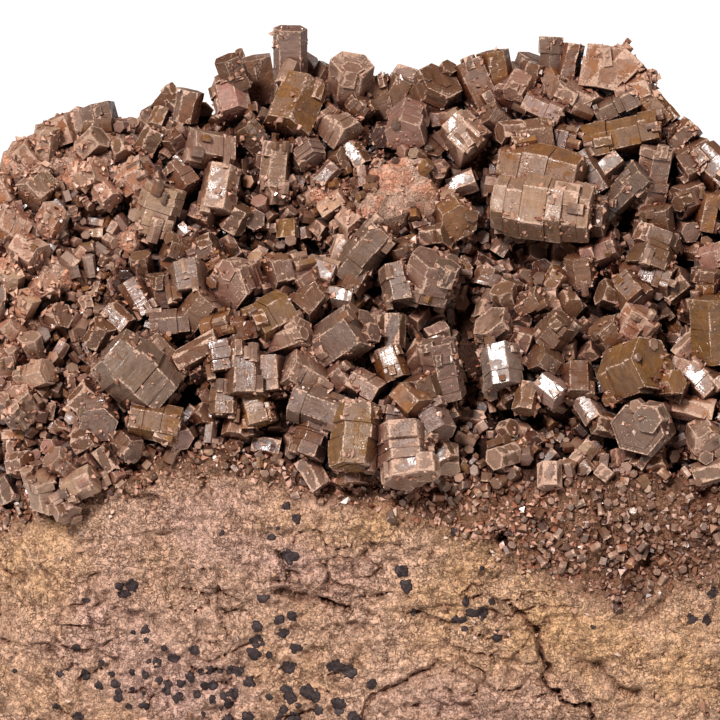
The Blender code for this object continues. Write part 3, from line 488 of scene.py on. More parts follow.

# Painted shade in the gaps: how far neighbours count, what the colour is multiplied by, and the darkest
# colour
GAP_REACH = 2.6 * MM
GAP_SHADE_RED = (0.62, 0.30, 0.20)
GAP_SHADE_DARK = (0.004, 0.0008, 0.0004)

# Where the six sides of a prism face, about its own axis
SIDE_NORMALS = np.array([(math.cos(a), math.sin(a)) for a in (math.radians(30 + 60 * k) for k in range(6))])
FINE_ACROSS = np.array((0, 0.06, 0.5, 0.94))  # places of a side's points between its corners
COARSE_ACROSS = np.array((0, 0.5))
FINE_RIM = np.array((1, 0.78, 0, 0.78))  # nearness to the edge at those places
COARSE_RIM = np.array((1, 0))

# Depths (mm) of the hollows between the large crystals and of the clefts
HOLLOW = 3.0
CLEFT_DEPTH = 1.6

# Places tried for each kind of small piece, and the most grains that one mesh takes
CRUMBS_TRIED = 60000
DRUSE_GRAINS_TRIED = 120000
FILL_TRIED = 9000
GRIT_TRIED = 16000
GRAINS = 13500

# Least distance between two scattered crystals, as a share of their mean size
FILL_GAP = 1.1
DRUSE_GAP = 0.8

SEED = 11
rng = np.random.default_rng(SEED)


def direction(azimuth, elevation):
    """Azimuth 0 faces -Y and 90 faces +X."""
    a, e = math.radians(azimuth), math.radians(elevation)
    return Vector((math.sin(a) * math.cos(e), -math.cos(a) * math.cos(e), math.sin(e)))


def in_space(right, up):
    """The place in VIEW_CENTRE's plane that shows here from EYE."""
    return VIEW_CENTRE + RIGHT * right * MM + UP * up * MM


def moved(points, matrix):
    """Points (rows) moved by a matrix."""
    m = np.array(matrix)
    return points @ m[:3, :3].T + m[:3, 3]


def picked(chosen, *arrays):
    """The chosen rows of each array."""
    return [array[chosen] for array in arrays]


def in_view(points):
    """Where points (rows of x, y, z) show from EYE: mm right and up of VIEW_CENTRE."""
    away = np.asarray(points) - np.array(EYE)
    scale = EYE_DISTANCE / MM / -(away @ np.array(OUT))
    return away @ np.array(RIGHT) * scale, away @ np.array(UP) * scale


def smooth_step(value, low, high):
    t = np.clip((value - low) / (high - low), 0, 1)
    return t * t * (3 - 2 * t)


def noise_at(points, size, seed=0, octaves=1):
    """Smooth noise, about -1 to 1, at points in metres, with lumps of this size in mm."""
    shift = Vector((seed * 7.3, seed * 3.1, seed * 5.7))
    scale = 1 / (size * MM)
    if octaves == 1:
        return np.array([noise.noise(Vector(p) * scale + shift) for p in points])
    return np.array([noise.fractal(Vector(p) * scale + shift, 1, 2, octaves) for p in points])


def crust(points, edge=CRYSTAL_EDGE):
    """How far (mm) each point lies inside the area that crystals cover; negative where the rock is bare. The
    seen side has the photograph's edge, and the far side one at a height of its own."""
    points = np.asarray(points)
    right, up = in_view(points)
    line = np.array(edge)
    seen = up - np.interp(right, line[:, 0], line[:, 1])
    x, z = points[:, 0], points[:, 2]
    far = (z / MM - FAR_EDGE) + 4 * np.sin(x / (7 * MM)) + 2 * np.sin(x / (2.3 * MM))
    share = smooth_step(points[:, 1], -2 * MM, 12 * MM)
    return seen * (1 - share) + far * share


def bell(right, up, x, y, wide, tall):
    """1 at the middle (x, y) of an area of the view and falling away with its radii (mm)."""
    return np.exp(-(((right - x) / wide) ** 2) - ((up - y) / tall) ** 2)


def stained(right, up, areas):
    """0 to 1: how far each place lies inside these areas of the view."""
    value = np.zeros(len(right))
    for area in areas:
        value += bell(right, up, *area)
    return np.clip(value, 0, 1)


def clay_share(right, up):
    """0 to 1: how far each place lies inside the clay areas."""
    share = np.zeros(len(right))
    for *area, _ in CLAY_AREAS:
        share = np.maximum(share, 1.4 * bell(right, up, *area))
    return np.clip(share, 0, 1)


def clay_height(right, up):
    """How far the clay stands out of the rock (mm)."""
    height = np.zeros(len(right))
    for *area, most in CLAY_AREAS:
        height = np.maximum(height, most * bell(right, up, *area))
    return height


def crumbly(right, up):
    """0 to 1: how thickly crumbs cover the crystals: most at the left edge, by the clay and on the lower
    barrel-shaped crystal."""
    edge = smooth_step(-right, 20, 27) * smooth_step(up, -14, -8)
    return np.maximum(np.maximum(clay_share(right, up), edge * 0.9), 0.9 * bell(right, up, *CRUSTED_BARREL))


def below_skyline(places, sizes):
    """True for each place where a crystal of this size (metres) stays inside the photograph's outline."""
    right, up = in_view(places)
    line = np.array(SKYLINE)
    return (up + 0.55 * sizes / MM < np.interp(right, line[:, 0], line[:, 1])) | (places[:, 1] > 14 * MM)


# Meshes


def new_object(name, data):
    obj = bpy.data.objects.new(name, data)
    bpy.context.scene.collection.objects.link(obj)
    return obj


def joined_mesh(name, points, faces, values):
    """A piece. points are rows in metres, faces are arrays with a row of point numbers for each face, and
    values holds numbers per point by name: one column is a value, three are a vector and four a colour."""
    mesh = bpy.data.meshes.new(name)
    sizes = np.concatenate([np.full(len(rows), rows.shape[1]) for rows in faces])
    mesh.vertices.add(len(points))
    mesh.vertices.foreach_set("co", np.ascontiguousarray(points, dtype=np.float32).ravel())
    mesh.loops.add(int(sizes.sum()))
    mesh.loops.foreach_set("vertex_index", np.concatenate([rows.ravel() for rows in faces]).astype(np.int32))
    mesh.polygons.add(len(sizes))
    starts = np.concatenate(([0], np.cumsum(sizes)[:-1]))
    mesh.polygons.foreach_set("loop_start", starts.astype(np.int32))
    mesh.update(calc_edges=True)
    mesh.validate()
    mesh.shade_flat()
    for key, numbers in values.items():
        add_values(mesh, key, numbers)
    return new_object(name, mesh)


def add_values(mesh, key, numbers):
    numbers = np.ascontiguousarray(numbers, dtype=np.float32)
    if numbers.ndim == 1:
        mesh.attributes.new(key, "FLOAT", "POINT").data.foreach_set("value", numbers)
    elif numbers.shape[1] == 3:
        mesh.attributes.new(key, "FLOAT_VECTOR", "POINT").data.foreach_set("vector", numbers.ravel())
    else:
        mesh.attributes.new(key, "FLOAT_COLOR", "POINT").data.foreach_set("color", numbers.ravel())


class Growth:
    """Gathers the points, faces and values of many crystals for one mesh."""

    def __init__(self):
        self.points, self.faces, self.count = [], {}, 0
        self.values = {"shade": [], "rim": [], "dust": [], "grain": []}

    def add(self, points, faces, rim, grain, look, placed):
        """points are along the crystal's own axes, and placed is its matrix."""
        self.points.append(moved(points, placed))
        for rows in faces:
            self.faces.setdefault(rows.shape[1], []).append(rows + self.count)
        self.count += len(points)
        colour, dust = LOOKS[look]
        light = rng.uniform(0.78, 1.22)
        tone = np.array(colour) * light * rng.uniform(0.95, 1.05, 3)
        self.values["shade"].append(np.tile((*tone, 1), (len(points), 1)))
        self.values["rim"].append(rim)
        self.values["dust"].append(np.full(len(points), dust + rng.uniform(-0.12, 0.12)))
        self.values["grain"].append(grain)

    def make(self, name):
        faces = [np.concatenate(rows) for rows in self.faces.values()]
        values = {key: np.concatenate(numbers) for key, numbers in self.values.items()}
        return joined_mesh(name, np.concatenate(self.points), faces, values)


# One crystal


def corners_of(far):
    """Corners (rows x 6 x 2) of six-sided sections whose sides lie this far (rows x 6) from the axis."""
    n, m = np.roll(SIDE_NORMALS, 1, axis=0), SIDE_NORMALS
    d, e = np.roll(far, 1, axis=1), far
    det = n[:, 0] * m[:, 1] - n[:, 1] * m[:, 0]
    return np.stack(((d * m[:, 1] - e * n[:, 1]) / det, (e * n[:, 0] - d * m[:, 0]) / det), axis=2)


def end_rows(far, across, fine):
    """The rows of one end face from its edge inwards: depth below the end, side distances, rim. Some ends are
    slightly hollow and some rise in low steps."""
    if not fine:
        return [(0, far, 1.0), (0, far * 0.5, 0.15)]
    rim = rng.uniform(0.02, 0.05) * across
    hollow = rng.choice((0.0, 0.0, 0.006, 0.015, -0.012)) * across
    step = rng.choice((0.0, 0.01, -0.018, -0.03)) * across
    inner = far * rng.uniform(0.4, 0.75) + far.mean() * rng.uniform(-0.12, 0.12, 6)
    inner = np.minimum(inner, far - rim - 0.02 * across)
    return [
        (0.008 * across, far, 0.95),
        (0, far - 0.008 * across, 1.0),
        (0, far - rim, 0.8),
        (hollow, far - rim - 0.006 * across, 0.78),
        (hollow, inner, 0.1 if step == 0 else 0.75),
        (hollow + step, inner - 0.006 * across, 0.1 if step == 0 else 0.7),
        (hollow + step, far * 0.12, 0.0),
    ]


def layer_rows(across, half, flat, fine, layers):
    """The rows of a crystal of stacked growth layers, from end to end: height, side distances, panel depth,
    rim, number of the layer."""
    base = across / 2 * (1 + rng.uniform(-0.055, 0.055, 6))
    base[[1, 4]] *= flat
    count = layers - 1 if layers else rng.choice((0, 1, 1, 2, 3) if fine else (0, 1, 1))
    cuts = half * (np.linspace(-1, 1, count + 2)[1:-1] + rng.uniform(-0.85, 0.85, count) / (count + 1))
    levels = np.concatenate(([-half], cuts, [half]))
    stack = [base * (1 + rng.uniform(-0.11, 0.03) + rng.uniform(-0.05, 0.05, 6)) for _ in range(count + 1)]
    groove = rng.choice((0.0, 0.006, 0.016)) * across

    rows = []
    for down, far, rim in end_rows(stack[0], across, fine)[::-1]:
        rows.append((-half + down, far, 0, rim, 0))
    for k, far in enumerate(stack):
        low, high = levels[k], levels[k + 1]
        margin = min(0.012 * across, 0.25 * (high - low))
        panel = rng.uniform(0, 0.006) * across
        if fine:
            rows.append((low + margin, far, panel * 0.3, 0.85 if k == 0 else 0.6, k))
            rows.append((low + 0.5 * (high - low), far, panel, 0.0, k))
            rows.append((high - margin, far, panel * 0.3, 0.85 if k == count else 0.6, k))
        else:
            rows.append((low + 0.5 * (high - low), far, 0, 0.0, k))
        if k < count:
            rows.append((high, np.minimum(far, stack[k + 1]) - groove, 0, 0.62, k))
    for down, far, rim in end_rows(stack[-1], across, fine):
        rows.append((half - down, far, 0, rim, count))
    return rows


def crystal_mesh(across, length, flat=1.0, bulge=0.0, fine=True, layers=0):
    """Points along the crystal's own axes (metres), faces, rim values and grain of one crystal."""
    places = FINE_ACROSS if fine else COARSE_ACROSS
    half = length / 2
    rows = layer_rows(across, half, flat, fine, layers)
    height, far, inset, row_rim, layer = (np.array(column) for column in zip(*rows))
    swell = 1 + bulge * np.clip(1.25 * np.cos(height / half * math.pi / 2), 0, 1)
    corners = corners_of(far * swell[:, None])
    following = np.roll(corners, -1, axis=1)
    t = places[None, None, :, None]
    flat_points = corners[:, :, None, :] * (1 - t) + following[:, :, None, :] * t
    depth = np.where((places > 0.1) & (places < 0.9), 1.0, 0.0)
    flat_points -= SIDE_NORMALS[None, :, None, :] * (inset[:, None] * depth[None, :])[:, None, :, None]
    worn = 1 - (0.004 + 0.012 * np.clip(rng.normal(0, 0.7, (len(rows), 6)), 0, 2.5))
    flat_points[:, :, 0, :] *= worn[:, :, None]
    spin = rng.normal(0, math.radians(2.2), layer[-1] + 1)[layer][:, None, None]
    shift = rng.normal(0, 0.018 * across, (layer[-1] + 1, 2))[layer][:, None, None, :]
    x, y = flat_points[..., 0], flat_points[..., 1]
    c, s = np.cos(spin), np.sin(spin)
    flat_points = np.stack((x * c - y * s, x * s + y * c), -1) + shift

    per_row = 6 * len(places)
    points = np.empty((len(rows), per_row, 3))
    points[..., :2] = flat_points.reshape(len(rows), per_row, 2)
    points[..., 2] = height[:, None]
    tilt = rng.normal(0, 0.02, 2)
    points[..., 2] += (points[..., 0] * tilt[0] + points[..., 1] * tilt[1]) * (height / half)[:, None]
    row_rim = row_rim[:, None]
    along_edge = np.tile(FINE_RIM if fine else COARSE_RIM, 6)[None, :]
    inside_end = (np.abs(height) >= half - 0.05 * across)[:, None] & (row_rim < 0.9)
    rim = np.where(inside_end, row_rim, np.maximum(row_rim, along_edge))

    a = np.arange(len(rows) - 1)[:, None] * per_row + np.arange(per_row)[None, :]
    b = np.arange(len(rows) - 1)[:, None] * per_row + (np.arange(per_row)[None, :] + 1) % per_row
    sides = np.stack((a, b, b + per_row, a + per_row), axis=2).reshape(-1, 4)
    first = np.arange(per_row)
    ends = np.stack((first[::-1], first + (len(rows) - 1) * per_row))
    points = points.reshape(-1, 3)
    grain = points / MM + rng.uniform(-40, 40, 3)
    return points, [sides, ends], rim.ravel(), grain


def add_crystal(growth, placed, across, length, flat=1.0, bulge=0.0, look="brown", fine=True, layers=0):
    points, faces, rim, grain = crystal_mesh(across, length, flat, bulge, fine, layers)
    growth.add(points, faces, rim, grain, look, placed)


def add_side_blocks(growth, placed, across, length, look):
    """Smaller crystals grown on a larger one, nearly parallel to it."""
    for _ in range(rng.integers(1, 4)):
        a = math.radians(30 + 60 * rng.integers(0, 6) + rng.normal(0, 12))
        size = across * rng.uniform(0.25, 0.55)
        out = across / 2 * rng.uniform(0.8, 1.08) - size * 0.2
        along = length / 2 * rng.choice((-1, 1)) * rng.uniform(0.45, 1.02)
        tall = min(length * 0.75, size * rng.uniform(0.6, 1.3))
        here = Matrix.Translation((math.cos(a) * out, math.sin(a) * out, along))
        turned = Matrix.Rotation(rng.normal(0, 0.12), 4, "X") @ Matrix.Rotation(rng.normal(0, 0.12), 4, "Y")
        add_crystal(growth, placed @ here @ turned, size, tall, look=look, fine=False)


# Where crystals stand


def seat(tree, right, up):
    """Where the line of sight through this place in the view meets the rock. Beside the rock's outline it is
    as far from EYE as the nearest rock below."""
    aim = in_space(right, up)
    line = (aim - EYE).normalized()
    inward = (VIEW_CENTRE - aim).normalized()
    for step in range(40):
        hit, _, _, far = tree.ray_cast(EYE, (aim + inward * step * 0.4 * MM - EYE).normalized())
        if hit:
            return EYE + line * far
    raise ValueError(f"no rock near {right}, {up}")


def axes_of(turn, toward, roll):
    """Rotation that puts local Z along a crystal and local Y towards EYE."""
    t, w = math.radians(turn), math.radians(toward)
    axis = (RIGHT * math.cos(t) + UP * math.sin(t)) * math.cos(w) + OUT * math.sin(w)
    front = OUT - axis * OUT.dot(axis)
    if front.length < 0.05:
        front = UP - axis * UP.dot(axis)
    front.normalize()
    side = front.cross(axis)
    return Matrix((side, front, axis)).transposed().to_4x4() @ Matrix.Rotation(math.radians(roll), 4, "Z")


def placed_crystal(tree, crystal):
    """Matrix of a crystal of the seen side. Its middle stands out of the rock by what its tilt needs, and a
    bright one turns one side to mirror the key light."""
    point = seat(tree, crystal.right, crystal.up)
    lean = math.radians(crystal.toward)
    proud = 0.25 * crystal.across * math.cos(lean) + (0.5 * crystal.length - 1.2) * math.sin(lean)
    proud = (proud + crystal.lift + 0.4) * MM
    turned = axes_of(crystal.turn, crystal.toward, crystal.roll)
    if crystal.look == "bright":
        gleam = OUT.rotation_difference(GLEAM).to_matrix().to_4x4()
        turned = gleam @ axes_of(crystal.turn, 0, 0)
    return Matrix.Translation(point + (EYE - point).normalized() * proud) @ turned


def patch_crystals(tree, draw, azimuth, elevation, spread, count):
    """(matrix, across, length) of the crystals of one patch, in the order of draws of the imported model."""
    found = []
    for _ in range(count):
        a = azimuth + draw.uniform(-spread, spread) * 1.3
        e = elevation + draw.uniform(-spread, spread)
        across = draw.uniform(*PATCH_ACROSS) * MM
        length = across * draw.uniform(*PATCH_SLENDERNESS)
        lean = math.radians(draw.uniform(0, PATCH_LEAN))
        way = draw.uniform(0, 2 * math.pi)
        roll = draw.uniform(0, math.radians(60))
        hit, normal, _, _ = tree.ray_cast(HEART, direction(a, e))
        basis = normal.to_track_quat("Z", "Y").to_matrix().to_4x4()
        tilt = Matrix.Rotation(way, 4, "Z") @ Matrix.Rotation(lean, 4, "X") @ Matrix.Rotation(roll, 4, "Z")
        found.append((Matrix.Translation(hit + normal * (0.2 * length)) @ basis @ tilt, across, length))
    return found


def world_mesh(node):
    """(points, triangles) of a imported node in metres."""
    mesh = node.data
    mesh.calc_loop_triangles()
    points = np.empty(len(mesh.vertices) * 3)
    mesh.vertices.foreach_get("co", points)
    triangles = np.empty(len(mesh.loop_triangles) * 3, dtype=np.int32)
    mesh.loop_triangles.foreach_get("vertices", triangles)
    return moved(points.reshape(-1, 3), node.matrix_world), triangles.reshape(-1, 3)


def sample_surface(points, triangles, count):
    """count random places on these triangles, spread evenly by area, and the triangles' normals there."""
    a, b, c = (points[triangles[:, k]] for k in range(3))
    across = np.cross(b - a, c - a)
    area = np.linalg.norm(across, axis=1)
    chosen = rng.choice(len(area), count, p=area / area.sum())
    u, v = rng.random(count), rng.random(count)
    over = u + v > 1
    u[over], v[over] = 1 - u[over], 1 - v[over]
    places = a[chosen] + (b - a)[chosen] * u[:, None] + (c - a)[chosen] * v[:, None]
    return places, across[chosen] / area[chosen][:, None]


# The groups of large crystals


def build_groups(tree):
    """One piece for each packed group. Returns every crystal as (matrix, across, length)."""
    standing = []
    for name, rows in SEEN_GROUPS.items():
        growth = Growth()
        for c in (Crystal(*row) for row in rows):
            placed = placed_crystal(tree, c)
            across, length = c.across * MM, c.length * MM
            add_crystal(growth, placed, across, length, c.flat, c.bulge, c.look, layers=c.layers)
            add_side_blocks(growth, placed, across, length, c.look)
            standing.append((placed, across, length))
        finish_group(growth, name)
    draw = random.Random(PATCH_SEED)
    for name, *patch in UNSEEN_PATCHES:
        growth = Growth()
        for placed, across, length in patch_crystals(tree, draw, *patch):
            look = rng.choice(UNSEEN_LOOKS)
            add_crystal(growth, placed, across, length, look=look)
            add_side_blocks(growth, placed, across, length, look)
            standing.append((placed, across, length))
        finish_group(growth, name)
    return standing


def finish_group(growth, name):
    piece = growth.make(name + "_grown")
    piece.data.materials.append(VANADINITE)
    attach(piece, "root")
    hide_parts(name)


def finish_extra(piece, material):
    piece.data.materials.append(material)
    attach(piece, "root")


# The crust of small crystals


def clear_of(standing, places, margin):
    """True for each place that lies in none of the standing crystals made larger by margin (metres)."""
    free = np.ones(len(places), dtype=bool)
    for placed, across, length in standing:
        at = moved(places, placed.inverted())
        near_axis = np.hypot(at[:, 0], at[:, 1]) < across / 2 + margin
        near_middle = np.abs(at[:, 2]) < length / 2 + margin
        free &= ~(near_axis & near_middle)
    return free


def outside_clefts(places, sizes, share):
    """True where a crystal of this size (metres) stays out of the clefts, whose radii count times share."""
    right, up = in_view(places)
    free = np.ones(len(places), dtype=bool)
    for x, y, radius in CLEFTS:
        free &= np.hypot(right - x, up - y) > radius * share + 0.4 * sizes / MM
    return free | (places[:, 1] > 5 * MM)


def spread_out(places, sizes, share):
    """Numbers of the places kept when any two must be at least share times their mean size apart."""
    cell = 2.4 * MM  # about as wide as the widest crystal
    kept, taken = [], {}
    for number, (place, size) in enumerate(zip(places, sizes)):
        i, j, k = (int(v // cell) for v in place)
        near = [item for a in (-1, 0, 1) for b in (-1, 0, 1) for c in (-1, 0, 1)
                for item in taken.get((i + a, j + b, k + c), ())]
        if all(np.sum((place - other) ** 2) > (share * (size + wide) / 2) ** 2 for other, wide in near):
            taken.setdefault((i, j, k), []).append((place, size))
            kept.append(number)
    return np.array(kept, dtype=int)


def tilted_frames(normals, least, most):
    """Rotations (rows x 3 x 3) whose Z leans away from each normal by least to most degrees, with a random
    roll."""
    count = len(normals)
    away = rng.normal(size=(count, 3))
    away -= normals * np.sum(away * normals, axis=1)[:, None]
    away /= np.linalg.norm(away, axis=1)[:, None]
    angle = np.radians(rng.uniform(least, most, count))[:, None]
    axis = normals * np.cos(angle) + away * np.sin(angle)
    side = np.cross(axis, rng.normal(size=(count, 3)))
    side /= np.linalg.norm(side, axis=1)[:, None]
    return np.stack((side, np.cross(axis, side), axis), axis=2)


def simple_prisms(name, places, frames, across, length, looks):
    """One mesh of many plain prisms, each with a worn edge round its free end."""
    angles = np.radians(60 * np.arange(6))
    ring = np.stack((np.cos(angles), np.sin(angles)), axis=1) / math.sqrt(3)
    low = np.column_stack((ring, np.full(6, -0.5)))
    top = np.column_stack((ring, np.full(6, 0.47)))
    inner = np.column_stack((ring * 0.9, np.full(6, 0.5)))
    base = np.concatenate((low, top, inner))
    rim = np.concatenate((np.zeros(6), np.full(6, 0.95), np.full(6, 0.5)))
    count = len(places)
    shape = np.repeat(base[None], count, axis=0)
    shape[:, :, :2] *= across[:, None, None]
    shape[:, :, :2] *= rng.uniform(0.82, 1.12, (count, 1, 2))
    shape[:, :, 2] *= length[:, None]
    points = np.einsum("nij,nkj->nki", frames, shape) + places[:, None, :]
    k = np.arange(6)
    n = (k + 1) % 6
    quads = np.concatenate((np.stack((k, n, n + 6, k + 6), 1), np.stack((k + 6, n + 6, n + 12, k + 12), 1)))
    ends = np.stack((k[::-1], k + 12))
    offset = (np.arange(count) * 18)[:, None, None]
    colours = np.array([LOOKS[look][0] for look in looks]) * rng.uniform(0.72, 1.25, (count, 1))
    dust = np.array([LOOKS[look][1] for look in looks]) + rng.uniform(-0.15, 0.25, count)
    values = {
        "shade": np.repeat(np.column_stack((colours, np.ones(count))), 18, axis=0),
        "rim": np.tile(rim, count),
        "dust": np.repeat(dust, 18),
        "grain": (shape / MM + rng.uniform(-40, 40, (count, 1, 3))).reshape(-1, 3),
    }
    faces = [(quads[None] + offset).reshape(-1, 4), (ends[None] + offset).reshape(-1, 6)]
    return joined_mesh(name, points.reshape(-1, 3), faces, values)


def pick_looks(count, weights):
    names = list(weights)
    share = np.array([weights[name] for name in names], dtype=float)
    return rng.choice(names, count, p=share / share.sum())


def build_steps(standing):
    """Small growth steps that stand out of the large crystals near their ends and edges."""
    places, frames, wide, tall = [], [], [], []
    for placed, across, length in standing:
        if placed.translation.y > 9 * MM:
            continue  # on the ridge's far side they would show as spikes
        turned = np.array(placed.to_3x3())
        for _ in range(rng.integers(4, 10)):
            a = math.radians(60 * rng.integers(0, 6) + rng.normal(0, 9) + rng.choice((0, 30)))
            size = across * rng.uniform(0.12, 0.34)
            out = across / 2 * rng.uniform(0.86, 1.1) - size * 0.3
            along = length / 2 * rng.choice((-1, 1)) * rng.uniform(0.5, 1.02)
            local = np.array((math.cos(a) * out, math.sin(a) * out, along))
            places.append(turned @ local + np.array(placed.translation))
            spin = Matrix.Rotation(math.radians(30) + rng.normal(0, 0.05), 3, "Z")
            frames.append(turned @ np.array(spin))
            wide.append(size)
            tall.append(size * rng.uniform(0.5, 2.2))
    looks = pick_looks(len(places), STEP_LOOKS)
    arrays = [np.array(rows) for rows in (places, frames, wide, tall)]
    piece = simple_prisms("growth_steps", *arrays, looks)
    finish_extra(piece, VANADINITE)


def grain_mesh(name, places, normals, sizes, values):
    """One mesh of many eight-sided angular grains. values holds one row per grain."""
    count = len(places)
    base = np.array(((1, 0, 0), (-1, 0, 0), (0, 1, 0), (0, -1, 0), (0, 0, 0.7), (0, 0, -0.7)))
    shape = base[None] * rng.uniform(0.6, 1.05, (count, 6, 1)) + rng.uniform(-0.38, 0.38, (count, 6, 3))
    shape *= sizes[:, None, None]
    frames = tilted_frames(normals, 0, 80)
    middle = places + normals * (0.15 * sizes)[:, None]
    points = np.einsum("nij,nkj->nki", frames, shape) + middle[:, None, :]
    belt = ((0, 2), (2, 1), (1, 3), (3, 0))
    sides = np.array([(a, b, 4) for a, b in belt] + [(b, a, 5) for a, b in belt])
    faces = (sides[None] + (np.arange(count) * 6)[:, None, None]).reshape(-1, 3)
    values = {key: np.repeat(rows, 6, axis=0) for key, rows in values.items()}
    return joined_mesh(name, points.reshape(-1, 3), [faces], values)


def crumb_shade(places):
    """Colours of crumbs, more orange in the clay areas."""
    chosen = rng.choice(len(CRUMB_COLOURS), len(places), p=CRUMB_SHARES)
    colours = np.array(CRUMB_COLOURS)[chosen] * rng.uniform(0.75, 1.2, (len(places), 1))
    clay = clay_share(*in_view(places))[:, None]
    colours = colours * (1 - clay * 0.8) + CLAY_CRUMB * clay * 0.8
    return np.column_stack((colours, np.ones(len(places))))


def build_druse_grains(surface, standing):
    """Angular grains between the small crystals and down to the druse's lower edge."""
    places, normals = sample_surface(*surface, DRUSE_GRAINS_TRIED)
    depth = crust(places, DRUSE_EDGE) + 1.2 * noise_at(places, 2.5, 9)
    covered = smooth_step(crust(places), 0.5, 3)
    good = rng.random(len(places)) < smooth_step(depth, -1.0, 1.5) * (1 - 0.7 * covered)
    good &= clear_of(standing, places, -0.15 * MM) & (places[:, 1] < 6 * MM)
    good &= outside_clefts(places, np.full(len(places), 0.2 * MM), 0.8)
    places, normals, covered = picked(np.flatnonzero(good)[:GRAINS], places, normals, covered)
    sizes = (0.10 + (0.42 - 0.16 * covered) * rng.random(len(places)) ** 2) * MM
    shade = crumb_shade(places)
    # painted shade: the grains darken towards the hollow at the druse's right end
    shade[:, :3] *= (1.06 - 0.32 * smooth_step(in_view(places)[0], 18, 27))[:, None]
    piece = grain_mesh("druse_grains", places, normals, sizes, {"shade": shade})
    finish_extra(piece, CRUMB)


def build_crumbs(pieces, standing):
    """Tiny grains that cling to the larger crystals in patches."""
    points, triangles, count = [], [], 0
    for piece in pieces:
        here, faces = world_mesh(piece)
        points.append(here)
        triangles.append(faces + count)
        count += len(here)
    places, normals = sample_surface(np.concatenate(points), np.concatenate(triangles), CRUMBS_TRIED)
    patch = noise_at(places, 2.6, 6, 2)
    patch += 0.5 * crumbly(*in_view(places))
    good = (rng.random(len(places)) < smooth_step(patch, 0.0, 0.4) * 0.9 + 0.03) & (places[:, 1] < 12 * MM)
    good &= clear_of(standing, places, -0.12 * MM)
    places, normals, patch = picked(np.flatnonzero(good)[:GRAINS], places, normals, patch)
    sizes = (0.07 + 0.26 * rng.random(len(places)) ** 1.6 * (0.5 + smooth_step(patch, 0, 0.4))) * MM
    sizes *= 1 + 0.25 * clay_share(*in_view(places))
    piece = grain_mesh("crumbs", places, normals, sizes, {"shade": crumb_shade(places)})
    finish_extra(piece, CRUMB)


def build_fill(tree, rock, standing):
    """The crystals of about 2 mm: first the listed ones, then those scattered over the crust."""
    growth = Growth()
    for c in (Crystal(*row) for row in SMALL_CRYSTALS):
        placed = placed_crystal(tree, c)
        add_crystal(growth, placed, c.across * MM, c.length * MM, look=c.look, fine=False)
        standing.append((placed, c.across * MM, c.length * MM))
    places, normals = sample_surface(*rock, FILL_TRIED)
    crumbling = crumbly(*in_view(places))
    sizes = rng.uniform(1.0, 2.3, len(places)) * (1 - 0.35 * crumbling) * MM
    order = np.argsort(-sizes)
    places, normals, sizes = picked(order, places, normals, sizes)
    good = (crust(places) > 0.8) & clear_of(standing, places, 0.35 * MM) & outside_clefts(places, sizes, 1.1)
    good &= 0.6 * rng.random(len(places)) + 0.05 > clay_share(*in_view(places))
    good &= below_skyline(places, sizes)
    places, normals, sizes = picked(good, places, normals, sizes)
    places, normals, sizes = picked(spread_out(places, sizes, FILL_GAP), places, normals, sizes)
    frames = tilted_frames(normals, 45, 95)
    coated = rng.random(len(places)) < crumbly(*in_view(places))
    looks = np.where(coated, pick_looks(len(places), COATED_LOOKS), pick_looks(len(places), FILL_LOOKS))
    for place, normal, size, turned, look in zip(places, normals, sizes, frames, looks):
        length = size * rng.uniform(0.7, 1.5)
        lean = abs(float(turned[:, 2] @ normal))
        proud = (0.35 * length - 0.1 * size) * lean + 0.16 * size
        placed = Matrix.Translation(Vector(place + normal * proud)) @ Matrix(turned.tolist()).to_4x4()
        add_crystal(growth, placed, size, length, look=str(look), fine=False)
        standing.append((placed, size, length))
    piece = growth.make("fill_crystals")
    finish_extra(piece, VANADINITE)


def build_druse(name, surface, standing, tried, low, high, edge, looks, most, inside=0.0):
    """Small plain prisms, low to high mm wide, scattered over a surface from inside mm within the crust's
    edge on."""
    places, normals = sample_surface(*surface, tried)
    sizes = (low + (high - low) * rng.power(0.6, len(places))) * MM
    depth = crust(places, edge)
    good = (depth > inside) & clear_of(standing, places, -0.15 * MM) & outside_clefts(places, sizes, 0.8)
    good &= below_skyline(places, sizes) & (0.9 * rng.random(len(places)) > clay_share(*in_view(places)))
    good &= rng.random(len(places)) < smooth_step(depth, inside - 0.5, inside + 2.5) * 0.9 + 0.1
    places, normals, sizes = picked(good, places, normals, sizes)
    order = np.argsort(-sizes)
    places, normals, sizes = picked(order, places, normals, sizes)
    places, normals, sizes = picked(spread_out(places, sizes, DRUSE_GAP)[:most], places, normals, sizes)
    length = sizes * rng.uniform(0.8, 1.7, len(sizes))
    frames = tilted_frames(normals, 30, 95)
    along = np.abs(np.sum(frames[:, :, 2] * normals, axis=1))
    middle = places + normals * (0.25 * length * along + 0.12 * sizes)[:, None]
    piece = simple_prisms(name, middle, frames, sizes, length, pick_looks(len(sizes), looks))
    finish_extra(piece, VANADINITE)


# The rock


def split_long_edges(bm, longest):
    """Halves the edges longer than longest(middle) metres until none is left, or six times."""
    for _ in range(6):
        middles = [(e.verts[0].co + e.verts[1].co) / 2 for e in bm.edges]
        limit = longest(np.array(middles))
        edges = [e for e, far in zip(bm.edges, limit) if e.calc_length() > far]
        if not edges:
            return
        bmesh.ops.subdivide_edges(bm, edges=edges, cuts=1)
        bmesh.ops.triangulate(bm, faces=[f for f in bm.faces if len(f.verts) > 3])


def first_spacing(middles):
    """The same everywhere, before the rock's corners are smoothed."""
    return np.full(len(middles), 1.5 * MM)


def fine_spacing(middles):
    """Closest where the bare rock is seen, widest under the crystals."""
    bare = -crust(middles, DRUSE_EDGE)
    facing = smooth_step(-middles[:, 1], 2 * MM, 9 * MM)
    bare = np.maximum(bare, 4 * clay_share(*in_view(middles)) - 3)
    spacing = 1.35 - 0.90 * smooth_step(bare, -2.5, 1) * facing
    return spacing * MM


